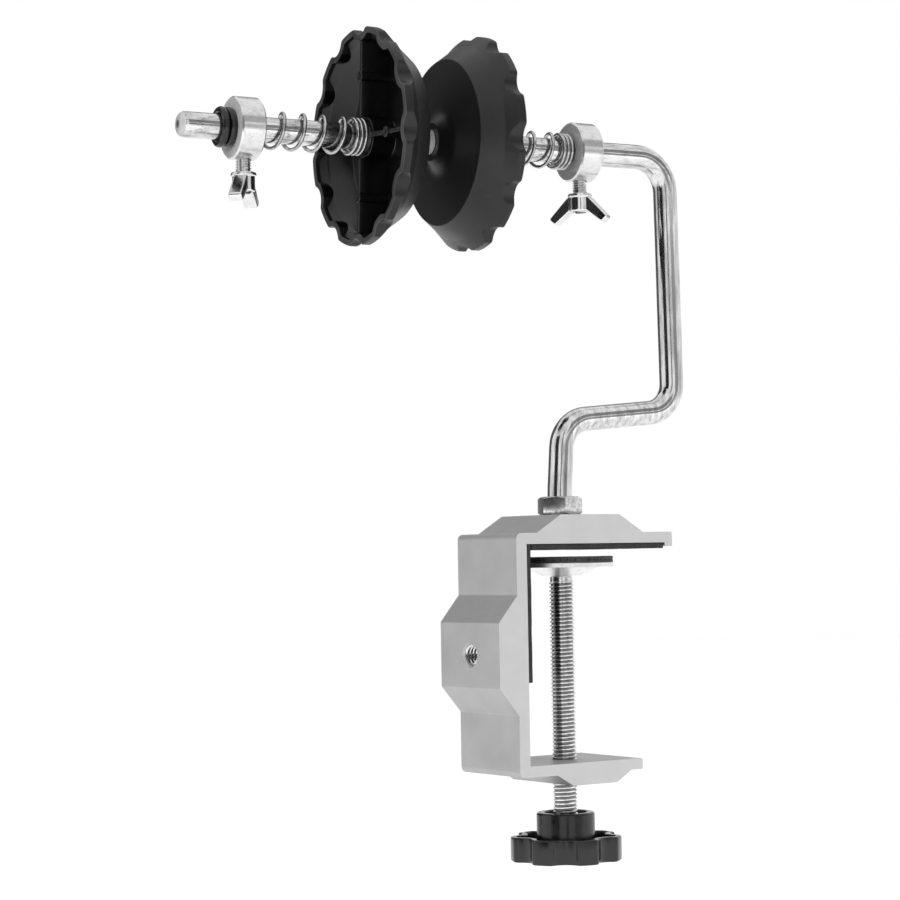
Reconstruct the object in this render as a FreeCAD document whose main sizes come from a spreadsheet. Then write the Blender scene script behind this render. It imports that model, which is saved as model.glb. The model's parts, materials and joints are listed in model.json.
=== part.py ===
import FreeCAD, Part
import math
import os
import Sketcher
from types import SimpleNamespace

# A fishing line winder that clamps to a table edge. Millimetres and degrees, +Z up.
# The origin is on the clamp screw's axis, at the underside of the jaw liner, where the table top seats.
# +X runs from the clamp's web to the jaw tips, and Y along the jaws' width.
# The bent arm stands on the same axis, turned about it by arm_turn. Its axle carries the two cones.

sizes = {
    # stock and fits
    "rod_diameter": 8.0,
    "screw_diameter": 8.0,
    "running_gap": 0.05,            # each side, where one piece turns or slides on another
    "rest_gap": 0.3,                # between a spring, disc or tip and what it bears on
    "slip_gap": 0.05,               # between flat faces that turn on each other
    # clamp frame, sawn from an extruded C
    "jaw_width": 32.0,
    "frame_height": 76.5,
    "jaw_wall": 3.5,
    "web_wall": 4.0,
    "axis_setback": 29.6,           # web's outer face to the screw's axis
    "upper_jaw_reach": 33.7,
    "lower_jaw_reach": 19.5,
    "lip_width": 3.1,
    "lip_drop": 1.25,
    "top_boss_height": 5.8,
    "top_boss_half": 11.8,
    "top_boss_ramp": 9.7,
    "low_boss_height": 3.6,
    "low_boss_half": 8.8,
    "low_boss_ramp": 6.1,
    "web_boss_height": 7.2,
    "web_boss_half": 10.3,
    "web_boss_ramp": 8.4,
    "outer_corner": 2.0,
    "frame_edge": 0.5,
    "side_hole_diameter": 6.8,      # tapping size of an M8 thread
    "hole_chamfer": 0.6,
    # rubber liners
    "jaw_liner_thickness": 2.0,
    "web_liner_thickness": 1.8,
    "web_liner_length": 41.6,
    "liner_end_gap": 0.4,
    "liner_seam": 0.2,              # between the two liners in the corner
    "liner_chamfer": 0.5,
    # bent arm
    "arm_turn": -7.2,
    "stem_bend_height": 18.8,       # the stem leans a little from just above the lock nut
    "stem_bend": 40.0,
    "stem_lean": 1.5,
    "kink_height": 42.1,            # where the stem's axis meets the kink's axis
    "kink_rise": 3.9,
    "kink_reach": 44.1,
    "axle_reach": 42.8,             # from the clamp's axis to the top of the upright, which leans back
    "axle_height": 130.6,
    "axle_end": 131.1,              # from the clamp's axis to the free end
    "lower_bend": 10.0,
    "upper_bend": 11.5,
    "rod_end_round": 2.3,
    "rod_foot_chamfer": 0.8,
    # lock nut
    "nut_across_flats": 13.0,
    "nut_height": 6.0,
    "nut_turn": 7.0,
    # collars with their wing screws
    "collar_diameter": 19.4,
    "collar_width": 8.0,
    "collar_chamfer": 0.5,
    "right_collar_station": 5.8,    # the collar's left face
    "stud_diameter": 4.8,
    "stud_mouth": 0.7,
    "stud_chamfer": 0.5,
    "wing_drop": 13.6,              # axle to the top of the wing head
    "wing_hub_height": 6.0,
    "wing_hub_diameter": 7.0,
    "wing_flange_diameter": 8.0,
    "wing_flange_height": 1.2,
    "ear_root": 5.0,
    "ear_span": 10.4,
    "ear_drop": 8.7,
    "ear_thickness": 2.6,
    "ear_tip_step": 1.8,            # the tip's slanted corner, across and up
    "ear_root_drop": 3.6,
    "ear_overlap": 0.5,             # how far the ears run into the hub
    "ear_width": 4.2,
    "ear_round": 0.5,
    "right_wing_turn": -52.0,
    "left_wing_turn": 51.0,
    # springs
    "wire_diameter": 1.2,
    "coil_diameter": 11.0,          # to the middle of the wire
    "spring_length": 37.1,          # between the faces it bears on
    "tip_gap": 5.9,                 # between the cones' tips, with no spool held
    "open_turns": 4.0,
    "closing_turns": 1.0,
    "closed_turns": 2.5,
    "closed_pitch": 1.75,
    "coil_start": 26.0,
    # cones
    "cone_depth": 18.0,
    "tip_diameter": 17.0,
    "hub_diameter": 18.4,
    "hub_reach": 5.4,
    "hub_flare": 3.6,
    "face_diameter": 53.0,
    "face_slope": 0.3,
    "band_diameter": 62.2,
    "band_depth": 12.1,
    "rim_diameter": 69.3,
    "rim_depth": 15.4,
    "cone_wall": 1.9,
    "cone_edge": 0.4,
    "scallop_radius": 5.0,
    "scallop_depth": 2.6,
    "scallop_count": 12,
    "scallop_round": 1.3,
    "tube_diameter": 13.0,
    "tube_depth": 15.7,
    "rib_thickness": 1.5,
    "rib_depth": 14.6,
    "rib_boss_diameter": 3.4,
    "rib_boss_place": 19.0,
    "rib_boss_stand": 0.4,
    "rib_count": 4,
    "wall_offset": 0.95,            # how far the inner form's slopes lie in from the outer ones
    "inner_shoulder_round": 0.65,
    # rubber rings on the axle's end
    "ring_section": 2.3,
    "ring_gap": 0.05,
    # pressure disc and its pad
    "clamp_opening": 2.05,          # between the jaw liner and the pad at rest
    "pad_diameter": 34.0,
    "pad_thickness": 2.2,
    "pad_chamfer": 0.3,
    "disc_diameter": 34.0,
    "disc_wall": 1.3,
    "dish_mouth": 23.8,
    "dish_floor": 12.6,
    "dish_depth": 2.7,
    "dish_inset": 1.04,             # how far the dish's inside lies in from its outside
    # clamp screw
    "rivet_diameter": 8.4,
    "rivet_height": 1.4,
    "neck_diameter": 5.4,
    "rivet_gap": 0.1,
    "screw_chamfer": 0.8,
    "head_across_flats": 13.0,
    "head_height": 5.3,
    # knob
    "knob_drop": 13.5,              # clamp's lower face to the knob's top
    "knob_hub_height": 7.5,
    "knob_hub_diameter": 18.9,
    "knob_diameter": 36.0,
    "knob_rim_height": 8.0,
    "knob_wall": 2.0,
    "knob_floor": 3.0,
    "counterbore_diameter": 13.8,
    "counterbore_depth": 3.0,
    "notch_radius": 5.5,
    "notch_depth": 3.0,
    "lobe_count": 7,
    "lobe_round": 1.4,
    "knob_edge": 0.6,
}

doc = FreeCAD.newDocument("LineWinder")
sheet = doc.addObject("Spreadsheet::Sheet", "Sizes")


class Size:
    # a length or an angle that carries its value and the expression that gives it
    def __init__(self, value, text):
        self.value = value
        self.text = text

    def __add__(self, other):
        other = sized(other)
        return Size(self.value + other.value, f"({self.text} + {other.text})")

    def __sub__(self, other):
        other = sized(other)
        return Size(self.value - other.value, f"({self.text} - {other.text})")

    def __mul__(self, other):
        other = sized(other)
        return Size(self.value * other.value, f"({self.text} * {other.text})")

    def __truediv__(self, other):
        other = sized(other)
        return Size(self.value / other.value, f"({self.text} / {other.text})")

    def __neg__(self):
        return Size(-self.value, f"(0 - {self.text})")


def sized(number):
    if isinstance(number, Size):
        return number
    return Size(float(number), f"({float(number):.10g})")


def cosine(angle):
    return Size(math.cos(math.radians(angle.value)), f"cos({angle.text})")


def sine(angle):
    return Size(math.sin(math.radians(angle.value)), f"sin({angle.text})")


for row, (name, number) in enumerate(sizes.items(), start=1):
    sheet.set(f"A{row}", name)
    sheet.set(f"B{row}", str(number))
    sheet.setAlias(f"B{row}", name)
doc.recompute()
s = SimpleNamespace(**{name: Size(float(number), f"Sizes.{name}") for name, number in sizes.items()})

nodes = []


def bind(thing, path, size):
    thing.setExpression(path, sized(size).text)


def new_body(label):
    body = doc.addObject("PartDesign::Body", label)
    body.Label = label
    return body


def keep(thing, label):
    thing.Label = label
    nodes.append(thing)


def sketch_on(body, plane, name, offset=None):
    sketch = body.newObject("Sketcher::SketchObject", name)
    origin_plane = next(item for item in body.Origin.OriginFeatures if item.Role == plane)
    sketch.AttachmentSupport = [(origin_plane, "")]
    sketch.MapMode = "FlatFace"
    if offset is not None:
        bind(sketch, "AttachmentOffset.Base.z", offset)
    return sketch


def hold_point(sketch, geometry, end, x, y):
    for kind, size in (("DistanceX", sized(x)), ("DistanceY", sized(y))):
        index = sketch.addConstraint(Sketcher.Constraint(kind, -1, 1, geometry, end, size.value))
        bind(sketch, f"Constraints[{index}]", size)


def draw_outline(sketch, points):
    # a closed outline whose corners are each held at their own x and y
    first = sketch.GeometryCount
    count = len(points)
    corners = [FreeCAD.Vector(sized(x).value, sized(y).value, 0) for x, y in points]
    for k in range(count):
        sketch.addGeometry(Part.LineSegment(corners[k], corners[(k + 1) % count]), False)
    for k in range(count):
        sketch.addConstraint(Sketcher.Constraint("Coincident", first + k, 2, first + (k + 1) % count, 1))
        hold_point(sketch, first + k, 1, *points[k])


def draw_circle(sketch, x, y, radius):
    x, y, radius = sized(x), sized(y), sized(radius)
    centre = FreeCAD.Vector(x.value, y.value, 0)
    geometry = sketch.addGeometry(Part.Circle(centre, FreeCAD.Vector(0, 0, 1), radius.value), False)
    hold_point(sketch, geometry, 3, x, y)
    index = sketch.addConstraint(Sketcher.Constraint("Radius", geometry, radius.value))
    bind(sketch, f"Constraints[{index}]", radius)


def hexagon(across_flats):
    # corners of a regular hexagon, the first on the local X axis
    radius = across_flats / math.sqrt(3)
    return [(radius * math.cos(math.radians(60 * k)), radius * math.sin(math.radians(60 * k))) for k in range(6)]


def turn_profile(body, points, axis):
    # an outline in the XZ plane turned once round the local X or Z axis
    sketch = sketch_on(body, "XZ_Plane", "profile")
    draw_outline(sketch, points)
    turned = body.newObject("PartDesign::Revolution", "turned")
    turned.Profile = sketch
    turned.ReferenceAxis = (sketch, ["H_Axis" if axis == "X" else "V_Axis"])
    turned.Angle = 360
    doc.recompute()
    return turned


def pad_outline(body, plane, points, depth, name, symmetric=True, offset=None):
    sketch = sketch_on(body, plane, name + "_outline", offset)
    for outline in points:
        draw_outline(sketch, outline)
    pad = body.newObject("PartDesign::Pad", name)
    pad.Profile = sketch
    pad.SideType = "Symmetric" if symmetric else "One side"
    bind(pad, "Length", depth)
    doc.recompute()
    return pad


def pocket_circle(body, plane, centre, radius, name, both_ways=True, forward=False):
    # a round hole right through the body from the plane, both ways or to one side of it
    volume = body.Shape.Volume
    sketch = sketch_on(body, plane, name + "_circle")
    draw_circle(sketch, centre[0], centre[1], radius)
    pocket = body.newObject("PartDesign::Pocket", name)
    pocket.Profile = sketch
    pocket.Type = "ThroughAll"
    pocket.SideType = "Symmetric" if both_ways else "One side"
    pocket.Reversed = forward
    doc.recompute()
    if body.Shape.Volume >= volume - 1e-6:
        raise ValueError(f"{name} cuts nothing from {body.Label}")
    return pocket


def repeat_around(body, feature, axis_sketch, count, name):
    pattern = body.newObject("PartDesign::PolarPattern", name)
    pattern.Originals = [feature]
    pattern.Axis = (axis_sketch, ["N_Axis"])
    pattern.Angle = 360
    bind(pattern, "Occurrences", count)
    body.Tip = pattern
    doc.recompute()
    return pattern


def near(a, b):
    return abs(a - b) < 1e-3


def line_edge_at(points, axis):
    # picks straight edges along the axis that pass through one of the points of the other two
    def test(edge):
        if len(edge.Vertexes) != 2 or not isinstance(edge.Curve, (Part.Line, Part.LineSegment)):
            return False
        along = edge.Curve.Direction
        if not near(abs(getattr(along, axis)), 1):
            return False
        middle = edge.CenterOfMass
        flat = [getattr(middle, other) for other in "xyz" if other != axis]
        return any(near(flat[0], a.value) and near(flat[1], b.value) for a, b in points)
    return test


def circle_edge_at(places, axis):
    # picks round edges centred on the axis, each place being its station along the axis and its radius
    def test(edge):
        if not isinstance(edge.Curve, Part.Circle):
            return False
        station = getattr(edge.Curve.Center, axis)
        return any(near(station, sized(a).value) and near(edge.Curve.Radius, sized(b).value) for a, b in places)
    return test


def finish_edges(body, size, test, kind="Fillet"):
    doc.recompute()
    base = body.Tip
    names = [f"Edge{k + 1}" for k, edge in enumerate(base.Shape.Edges) if test(edge)]
    if not names:
        raise ValueError(f"no edge found to finish on {body.Label}")
    finish = body.newObject("PartDesign::" + kind, kind.lower())
    finish.Base = (base, names)
    bind(finish, "Radius" if kind == "Fillet" else "Size", size)
    doc.recompute()
    return finish


def place_on_arm(thing, station, height, turn=0):
    # the station runs along the axle from the clamp's axis, towards the upright
    thing.Placement = FreeCAD.Placement(FreeCAD.Vector(), FreeCAD.Rotation(FreeCAD.Vector(0, 0, 1), 1))
    bind(thing, "Placement.Rotation.Angle", s.arm_turn + turn)
    bind(thing, "Placement.Base.x", sized(station) * cosine(s.arm_turn))
    bind(thing, "Placement.Base.y", sized(station) * sine(s.arm_turn))
    bind(thing, "Placement.Base.z", height)


# heights of the clamp, from the table seat at zero
jaw_under = s.jaw_liner_thickness
jaw_top = jaw_under + s.jaw_wall
boss_top = jaw_top + s.top_boss_height
frame_low = jaw_top - s.frame_height
frame_middle = jaw_top - s.frame_height / 2
web_outer = -s.axis_setback
web_inner = web_outer + s.web_wall
rod_radius = s.rod_diameter / 2
rod_bore = rod_radius + s.running_gap
screw_bore = s.screw_diameter / 2 + s.running_gap


def make_clamp_frame():
    body = new_body("clamp_frame")
    web_boss = web_outer - s.web_boss_height
    lip_face = s.upper_jaw_reach - s.lip_width
    low_boss = frame_low - s.low_boss_height
    web_ramp_end = s.web_boss_half + s.web_boss_ramp
    outline = [
        (web_outer, frame_low),
        (web_outer, frame_middle - web_ramp_end),
        (web_boss, frame_middle - s.web_boss_half),
        (web_boss, frame_middle + s.web_boss_half),
        (web_outer, frame_middle + web_ramp_end),
        (web_outer, jaw_top),
        (-s.top_boss_half - s.top_boss_ramp, jaw_top),
        (-s.top_boss_half, boss_top),
        (s.top_boss_half, boss_top),
        (s.top_boss_half + s.top_boss_ramp, jaw_top),
        (s.upper_jaw_reach, jaw_top),
        (s.upper_jaw_reach, jaw_under - s.lip_drop),
        (lip_face, jaw_under - s.lip_drop),
        (lip_face, jaw_under),
        (web_inner, jaw_under),
        (web_inner, frame_low + s.jaw_wall),
        (s.lower_jaw_reach, frame_low + s.jaw_wall),
        (s.lower_jaw_reach, frame_low),
        (s.low_boss_half + s.low_boss_ramp, frame_low),
        (s.low_boss_half, low_boss),
        (-s.low_boss_half, low_boss),
        (-s.low_boss_half - s.low_boss_ramp, frame_low),
    ]
    pad_outline(body, "XZ_Plane", [outline], s.jaw_width, "extrusion")
    finish_edges(body, s.outer_corner, line_edge_at([outline[0], outline[5]], "y"))
    finish_edges(body, s.frame_edge, line_edge_at(outline[1:5] + outline[6:13] + outline[16:], "y"))
    pocket_circle(body, "XY_Plane", (0, 0), rod_bore, "arm_hole", both_ways=False, forward=True)
    pocket_circle(body, "XY_Plane", (0, 0), screw_bore, "screw_hole", both_ways=False)
    pocket_circle(body, "YZ_Plane", (0, frame_middle), s.side_hole_diameter / 2, "side_hole", both_ways=False)
    mouths = [(boss_top, rod_bore), (low_boss, screw_bore)]
    finish_edges(body, s.hole_chamfer, circle_edge_at(mouths, "z"), "Chamfer")
    side_mouth = [(web_boss, s.side_hole_diameter / 2)]
    finish_edges(body, s.hole_chamfer, circle_edge_at(side_mouth, "x"), "Chamfer")
    keep(body, "clamp_frame")


def make_liners():
    start = web_inner + s.web_liner_thickness + s.liner_seam
    end = s.upper_jaw_reach - s.lip_width - s.liner_end_gap
    body = new_body("jaw_liner")
    strip = [(start, 0), (end, 0), (end, jaw_under), (start, jaw_under)]
    pad_outline(body, "XZ_Plane", [strip], s.jaw_width, "strip")
    finish_edges(body, s.liner_chamfer, line_edge_at([(end, sized(0))], "y"), "Chamfer")
    keep(body, "jaw_liner")
    body = new_body("web_liner")
    face = web_inner + s.web_liner_thickness
    low = -s.web_liner_length
    strip = [(web_inner, low), (face, low), (face, jaw_under), (web_inner, jaw_under)]
    pad_outline(body, "XZ_Plane", [strip], s.jaw_width, "strip")
    finish_edges(body, s.liner_chamfer, line_edge_at([(face, low)], "y"), "Chamfer")
    keep(body, "web_liner")


def make_arm_rod():
    # one bar bent from the clamp up to the axle, its bends between the corners of one path
    body = new_body("arm_rod")
    path = sketch_on(body, "XZ_Plane", "path")
    low = jaw_under + s.rest_gap
    start = (sized(0), low)
    stop = (-s.axle_end, s.axle_height)
    turns = [
        ((sized(0), s.stem_bend_height), s.stem_bend),
        ((s.stem_lean, s.kink_height), s.lower_bend),
        ((s.kink_reach, s.kink_height + s.kink_rise), s.lower_bend),
        ((s.axle_reach, s.axle_height), s.upper_bend),
    ]
    corners = [FreeCAD.Vector(x.value, z.value, 0) for x, z in [start] + [corner for corner, _ in turns] + [stop]]
    ends = [corners[0]]
    arcs = []
    for k, (_, bend) in enumerate(turns, start=1):
        back = (corners[k - 1] - corners[k]).normalize()
        ahead = (corners[k + 1] - corners[k]).normalize()
        half = back.getAngle(ahead) / 2
        leg = bend.value / math.tan(half)
        middle = corners[k] + (back + ahead).normalize() * (bend.value / math.sin(half) - bend.value)
        ends += [corners[k] + back * leg, corners[k] + ahead * leg]
        # a sketch counts an arc's ends anticlockwise
        anticlockwise = ahead.cross(back).z > 0
        first, last = (ends[-2], ends[-1]) if anticlockwise else (ends[-1], ends[-2])
        arcs.append((Part.Arc(first, middle, last), 1 if anticlockwise else 2))
    ends.append(corners[-1])
    for k in range(len(arcs) + 1):
        path.addGeometry(Part.LineSegment(ends[2 * k], ends[2 * k + 1]), False)
    for k, ((arc, near_end), (corner, bend)) in enumerate(zip(arcs, turns)):
        index = path.addGeometry(arc, False)
        path.addConstraint(Sketcher.Constraint("Tangent", k, 2, index, near_end))
        path.addConstraint(Sketcher.Constraint("Tangent", index, 3 - near_end, k + 1, 1))
        radius = path.addConstraint(Sketcher.Constraint("Radius", index, bend.value))
        bind(path, f"Constraints[{radius}]", bend)
        mark = path.addGeometry(Part.Point(corners[k + 1]), True)
        hold_point(path, mark, 1, *corner)
        path.addConstraint(Sketcher.Constraint("PointOnObject", mark, 1, k))
        path.addConstraint(Sketcher.Constraint("PointOnObject", mark, 1, k + 1))
    hold_point(path, 0, 1, *start)
    hold_point(path, len(turns), 2, *stop)
    section = sketch_on(body, "XY_Plane", "section", low)
    draw_circle(section, 0, 0, rod_radius)
    pipe = body.newObject("PartDesign::AdditivePipe", "bar")
    pipe.Profile = section
    pipe.Spine = path
    doc.recompute()
    finish_edges(body, s.rod_end_round, circle_edge_at([(-s.axle_end, rod_radius)], "x"))
    finish_edges(body, s.rod_foot_chamfer, circle_edge_at([(low, rod_radius)], "z"), "Chamfer")
    place_on_arm(body, 0, 0)
    keep(body, "arm_rod")


def make_lock_nut():
    body = new_body("lock_nut")
    low = boss_top + s.slip_gap
    high = low + s.nut_height
    pad_outline(body, "XY_Plane", [hexagon(s.nut_across_flats)], s.nut_height, "hexagon", symmetric=False, offset=low)
    flat = s.nut_across_flats / 2
    corner = s.nut_across_flats / math.sqrt(3)
    fall = (corner - flat) * math.tan(math.radians(30))
    groove_sketch = sketch_on(body, "XZ_Plane", "corner_bevels")
    draw_outline(groove_sketch, [(flat, high), (corner + flat, high), (corner, high - fall)])
    draw_outline(groove_sketch, [(flat, low), (corner + flat, low), (corner, low + fall)])
    volume = body.Shape.Volume
    groove = body.newObject("PartDesign::Groove", "bevels")
    groove.Profile = groove_sketch
    groove.ReferenceAxis = (groove_sketch, ["V_Axis"])
    groove.Angle = 360
    doc.recompute()
    if body.Shape.Volume >= volume - 1e-6:
        raise ValueError("the nut's bevels cut nothing")
    pocket_circle(body, "XY_Plane", (0, 0), rod_bore, "bore")
    mouths = [(low, rod_bore), (high, rod_bore)]
    finish_edges(body, s.hole_chamfer, circle_edge_at(mouths, "z"), "Chamfer")
    body.Placement = FreeCAD.Placement(FreeCAD.Vector(), FreeCAD.Rotation(FreeCAD.Vector(0, 0, 1), 1))
    bind(body, "Placement.Rotation.Angle", s.nut_turn)
    keep(body, "lock_nut")


stud_bore = s.stud_diameter / 2 + s.running_gap


def make_collar(label, left_face):
    body = new_body(label)
    outer = s.collar_diameter / 2
    high = s.collar_width
    turn_profile(body, [(0, rod_bore), (high, rod_bore), (high, outer), (0, outer)], "X")
    edges = [(0, outer), (high, outer), (0, rod_bore), (high, rod_bore)]
    finish_edges(body, s.collar_chamfer, circle_edge_at(edges, "x"), "Chamfer")
    pocket_circle(body, "XY_Plane", (s.collar_width / 2, 0), stud_bore, "stud_hole", both_ways=False)
    place_on_arm(body, left_face, s.axle_height)
    keep(body, label)


def make_wing_screw(side, station, wing_turn):
    # the stud screws into the collar from below and bears on the axle, and the head drives it
    radius = s.stud_diameter / 2
    tip = -(rod_radius + s.rest_gap)
    head_top = -s.wing_drop
    head_low = head_top - s.wing_hub_height
    body = new_body(side + "_wing_stud")
    end = head_low - s.rest_gap
    turn_profile(body, [(0, end), (radius, end), (radius, tip), (0, tip)], "Z")
    finish_edges(body, s.stud_chamfer, circle_edge_at([(end, radius), (tip, radius)], "z"), "Chamfer")
    place_on_arm(body, station, s.axle_height, wing_turn)
    keep(body, side + "_wing_stud")

    body = new_body(side + "_wing_head")
    hub = s.wing_hub_diameter / 2
    flange = s.wing_flange_diameter / 2
    root = head_top - s.wing_flange_height
    profile = [(stud_bore, head_low), (hub, head_low), (hub, root), (flange, root), (flange, head_top),
               (stud_bore, head_top)]
    turn_profile(body, profile, "Z")
    ear_low = root - s.ear_drop
    ear_start = hub - s.ear_overlap
    ear = [(ear_start, root), (s.ear_root, root), (s.ear_span, ear_low + s.ear_tip_step),
           (s.ear_span - s.ear_tip_step, ear_low), (s.ear_root, root - s.ear_root_drop),
           (ear_start, root - s.ear_root_drop)]
    other_ear = [(-x, z) for x, z in reversed(ear)]
    pad_outline(body, "XZ_Plane", [ear, other_ear], s.ear_width, "ears")
    rounded = [ear[1], ear[2], ear[3], ear[4]]
    rounded += [(-x, z) for x, z in rounded]
    finish_edges(body, s.ear_round, line_edge_at(rounded, "y"))
    place_on_arm(body, station, s.axle_height, wing_turn)
    keep(body, side + "_wing_head")


def biarc(start, start_tangent, end, end_tangent):
    # two arcs that join smoothly between two points with given directions
    chord = end - start
    sum_tangent = start_tangent + end_tangent
    a = 2 * (1 - start_tangent.dot(end_tangent))
    b = 2 * chord.dot(sum_tangent)
    c = -chord.dot(chord)
    reach = (-b + math.sqrt(b * b - 4 * a * c)) / (2 * a)
    first_corner = start + start_tangent * reach
    second_corner = end - end_tangent * reach
    joint = (first_corner + second_corner) * 0.5
    edges = []
    for left, corner, right in ((start, first_corner, joint), (joint, second_corner, end)):
        half = (left - corner).getAngle(right - corner) / 2
        radius = reach * math.tan(half)
        centre = corner + ((left + right) * 0.5 - corner).normalize() * (radius / math.sin(half))
        middle = centre + (corner - centre).normalize() * radius
        edges.append(Part.Arc(left, middle, right).toShape())
    return edges


def spring_centre(turn, length):
    # the wire's middle after so many turns: open coils, one closing coil, then close coils
    closed = s.closed_turns.value + s.closing_turns.value / 2
    opened = s.open_turns.value + s.closing_turns.value / 2
    open_pitch = (length - closed * s.closed_pitch.value) / opened
    pitch_fall = open_pitch - s.closed_pitch.value
    closing = min(max(turn - s.open_turns.value, 0), s.closing_turns.value)
    past = max(turn - s.open_turns.value - s.closing_turns.value, 0)
    along = open_pitch * min(turn, s.open_turns.value)
    along += open_pitch * closing - pitch_fall * closing ** 2 / (2 * s.closing_turns.value)
    along += s.closed_pitch.value * past
    pitch = open_pitch - pitch_fall * closing / s.closing_turns.value
    angle = math.radians(s.coil_start.value) + 2 * math.pi * turn
    radius = s.coil_diameter.value / 2
    point = FreeCAD.Vector(along, -radius * math.cos(angle), radius * math.sin(angle))
    around = 2 * math.pi * radius
    tangent = FreeCAD.Vector(pitch, around * math.sin(angle), around * math.cos(angle)).normalize()
    return point, tangent


def make_spring(label, station):
    wire = s.wire_diameter.value
    length = s.spring_length.value - 2 * s.rest_gap.value - wire
    turns = s.open_turns.value + s.closing_turns.value + s.closed_turns.value
    steps = round(4 * turns)
    stops = [spring_centre(turns * k / steps, length) for k in range(steps + 1)]
    first, first_way = stops[0]
    last, last_way = stops[-1]
    edges = [Part.LineSegment(first - first_way * wire, first).toShape()]
    for (start, start_way), (end, end_way) in zip(stops, stops[1:]):
        edges += biarc(start, start_way, end, end_way)
    edges.append(Part.LineSegment(last, last + last_way * wire).toShape())
    path = Part.Wire(edges)
    section = Part.Wire(Part.Circle(first - first_way * wire, first_way, wire / 2).toShape())
    solid = path.makePipeShell([section], True, False)
    per_turn = 48
    points = [spring_centre(k / per_turn, length)[0] for k in range(int(turns * per_turn) + 1)]
    gaps = [a.distanceToPoint(b) for k, a in enumerate(points) for b in points[k + per_turn // 2:]]
    exact = math.pi * wire ** 2 / 4 * path.Length
    print(f"{label}: {turns} turns, least gap to itself {min(gaps) - wire:.3f} mm,"
          f" volume {solid.Volume:.2f} against {exact:.2f} mm3")
    spring = doc.addObject("Part::Feature", label)
    spring.Shape = solid
    place_on_arm(spring, station + s.rest_gap + s.wire_diameter / 2, s.axle_height)
    keep(spring, label)


def make_cone_form(label, points, cut_radius, round_radius, rim_radius):
    # a turned form whose rim has the ring of scallops cut out of it
    body = new_body(label)
    turn_profile(body, points, "X")
    centre = s.rim_diameter / 2 - s.scallop_depth + s.scallop_radius
    cut = pocket_circle(body, "YZ_Plane", (0, centre), cut_radius, "scallop")
    repeat_around(body, cut, cut.Profile[0], s.scallop_count, "scallops")

    def shoulder(edge):
        if not isinstance(edge.Curve, (Part.Line, Part.LineSegment)) or not near(abs(edge.Curve.Direction.x), 1):
            return False
        middle = edge.CenterOfMass
        return near(math.hypot(middle.y, middle.z), rim_radius.value)
    finish_edges(body, round_radius, shoulder)
    return body


def make_cone(side, tip, turn):
    # a hollow moulding: hub and flat face towards its twin, open back with a tube and four ribs
    rim = s.rim_diameter / 2
    band = s.band_diameter / 2
    face = s.face_diameter / 2
    hub = s.hub_diameter / 2
    face_back = s.hub_reach + s.face_slope
    outside = [(0, 0), (0, s.tip_diameter / 2), (s.hub_reach, hub), (face_back, face), (s.band_depth, band),
               (s.rim_depth, rim), (s.cone_depth, rim), (s.cone_depth, 0)]
    outer = make_cone_form(side + "_cone_outside", outside, s.scallop_radius, s.scallop_round, rim)
    finish_edges(outer, s.hub_flare, circle_edge_at([(s.hub_reach, hub)], "x"))
    finish_edges(outer, s.cone_edge, circle_edge_at([(0, s.tip_diameter / 2), (face_back, face)], "x"))

    wall = s.cone_wall
    inner_rim = rim - wall
    offset = s.wall_offset
    inside = [(face_back + wall, 0), (face_back + wall, face - offset), (s.band_depth + wall, band - offset),
              (s.rim_depth + offset, inner_rim), (s.cone_depth + wall, inner_rim), (s.cone_depth + wall, 0)]
    inner = make_cone_form(side + "_cone_inside", inside, s.scallop_radius + wall, s.inner_shoulder_round, inner_rim)

    ribs = new_body(side + "_cone_ribs")
    tube = s.tube_diameter / 2
    turn_profile(ribs, [(s.hub_reach, 0), (s.hub_reach, tube), (s.tube_depth, tube), (s.tube_depth, 0)], "X")
    half = s.rib_thickness / 2
    cross = [(-half, -rim), (half, -rim), (half, -half), (rim, -half), (rim, half), (half, half),
             (half, rim), (-half, rim), (-half, half), (-rim, half), (-rim, -half), (-half, -half)]
    start = face_back + offset
    pad_outline(ribs, "YZ_Plane", [cross], s.rib_depth - start, "cross", symmetric=False, offset=start)
    sketch = sketch_on(ribs, "YZ_Plane", "rib_boss_circle", start)
    draw_circle(sketch, 0, s.rib_boss_place, s.rib_boss_diameter / 2)
    boss = ribs.newObject("PartDesign::Pad", "rib_boss")
    boss.Profile = sketch
    bind(boss, "Length", s.rib_depth - start + s.rib_boss_stand)
    doc.recompute()
    repeat_around(ribs, boss, sketch, s.rib_count, "rib_bosses")

    shell = doc.addObject("Part::Cut", side + "_cone_shell")
    shell.Base, shell.Tool = outer, inner
    trimmed = doc.addObject("Part::Common", side + "_cone_trimmed_ribs")
    trimmed.Base, trimmed.Tool = ribs, outer
    whole = doc.addObject("Part::MultiFuse", side + "_cone_whole")
    whole.Shapes = [shell, trimmed]
    bore = doc.addObject("Part::Cylinder", side + "_cone_bore")
    bind(bore, "Radius", rod_bore)
    bind(bore, "Height", s.cone_depth * 2)
    bore.Placement = FreeCAD.Placement(FreeCAD.Vector(), FreeCAD.Rotation(FreeCAD.Vector(0, 1, 0), 90))
    bind(bore, "Placement.Base.x", -s.cone_depth / 2)
    cone = doc.addObject("Part::Cut", side + "_cone")
    cone.Base, cone.Tool = whole, bore
    place_on_arm(cone, tip, s.axle_height, turn)
    keep(cone, side + "_cone")


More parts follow.
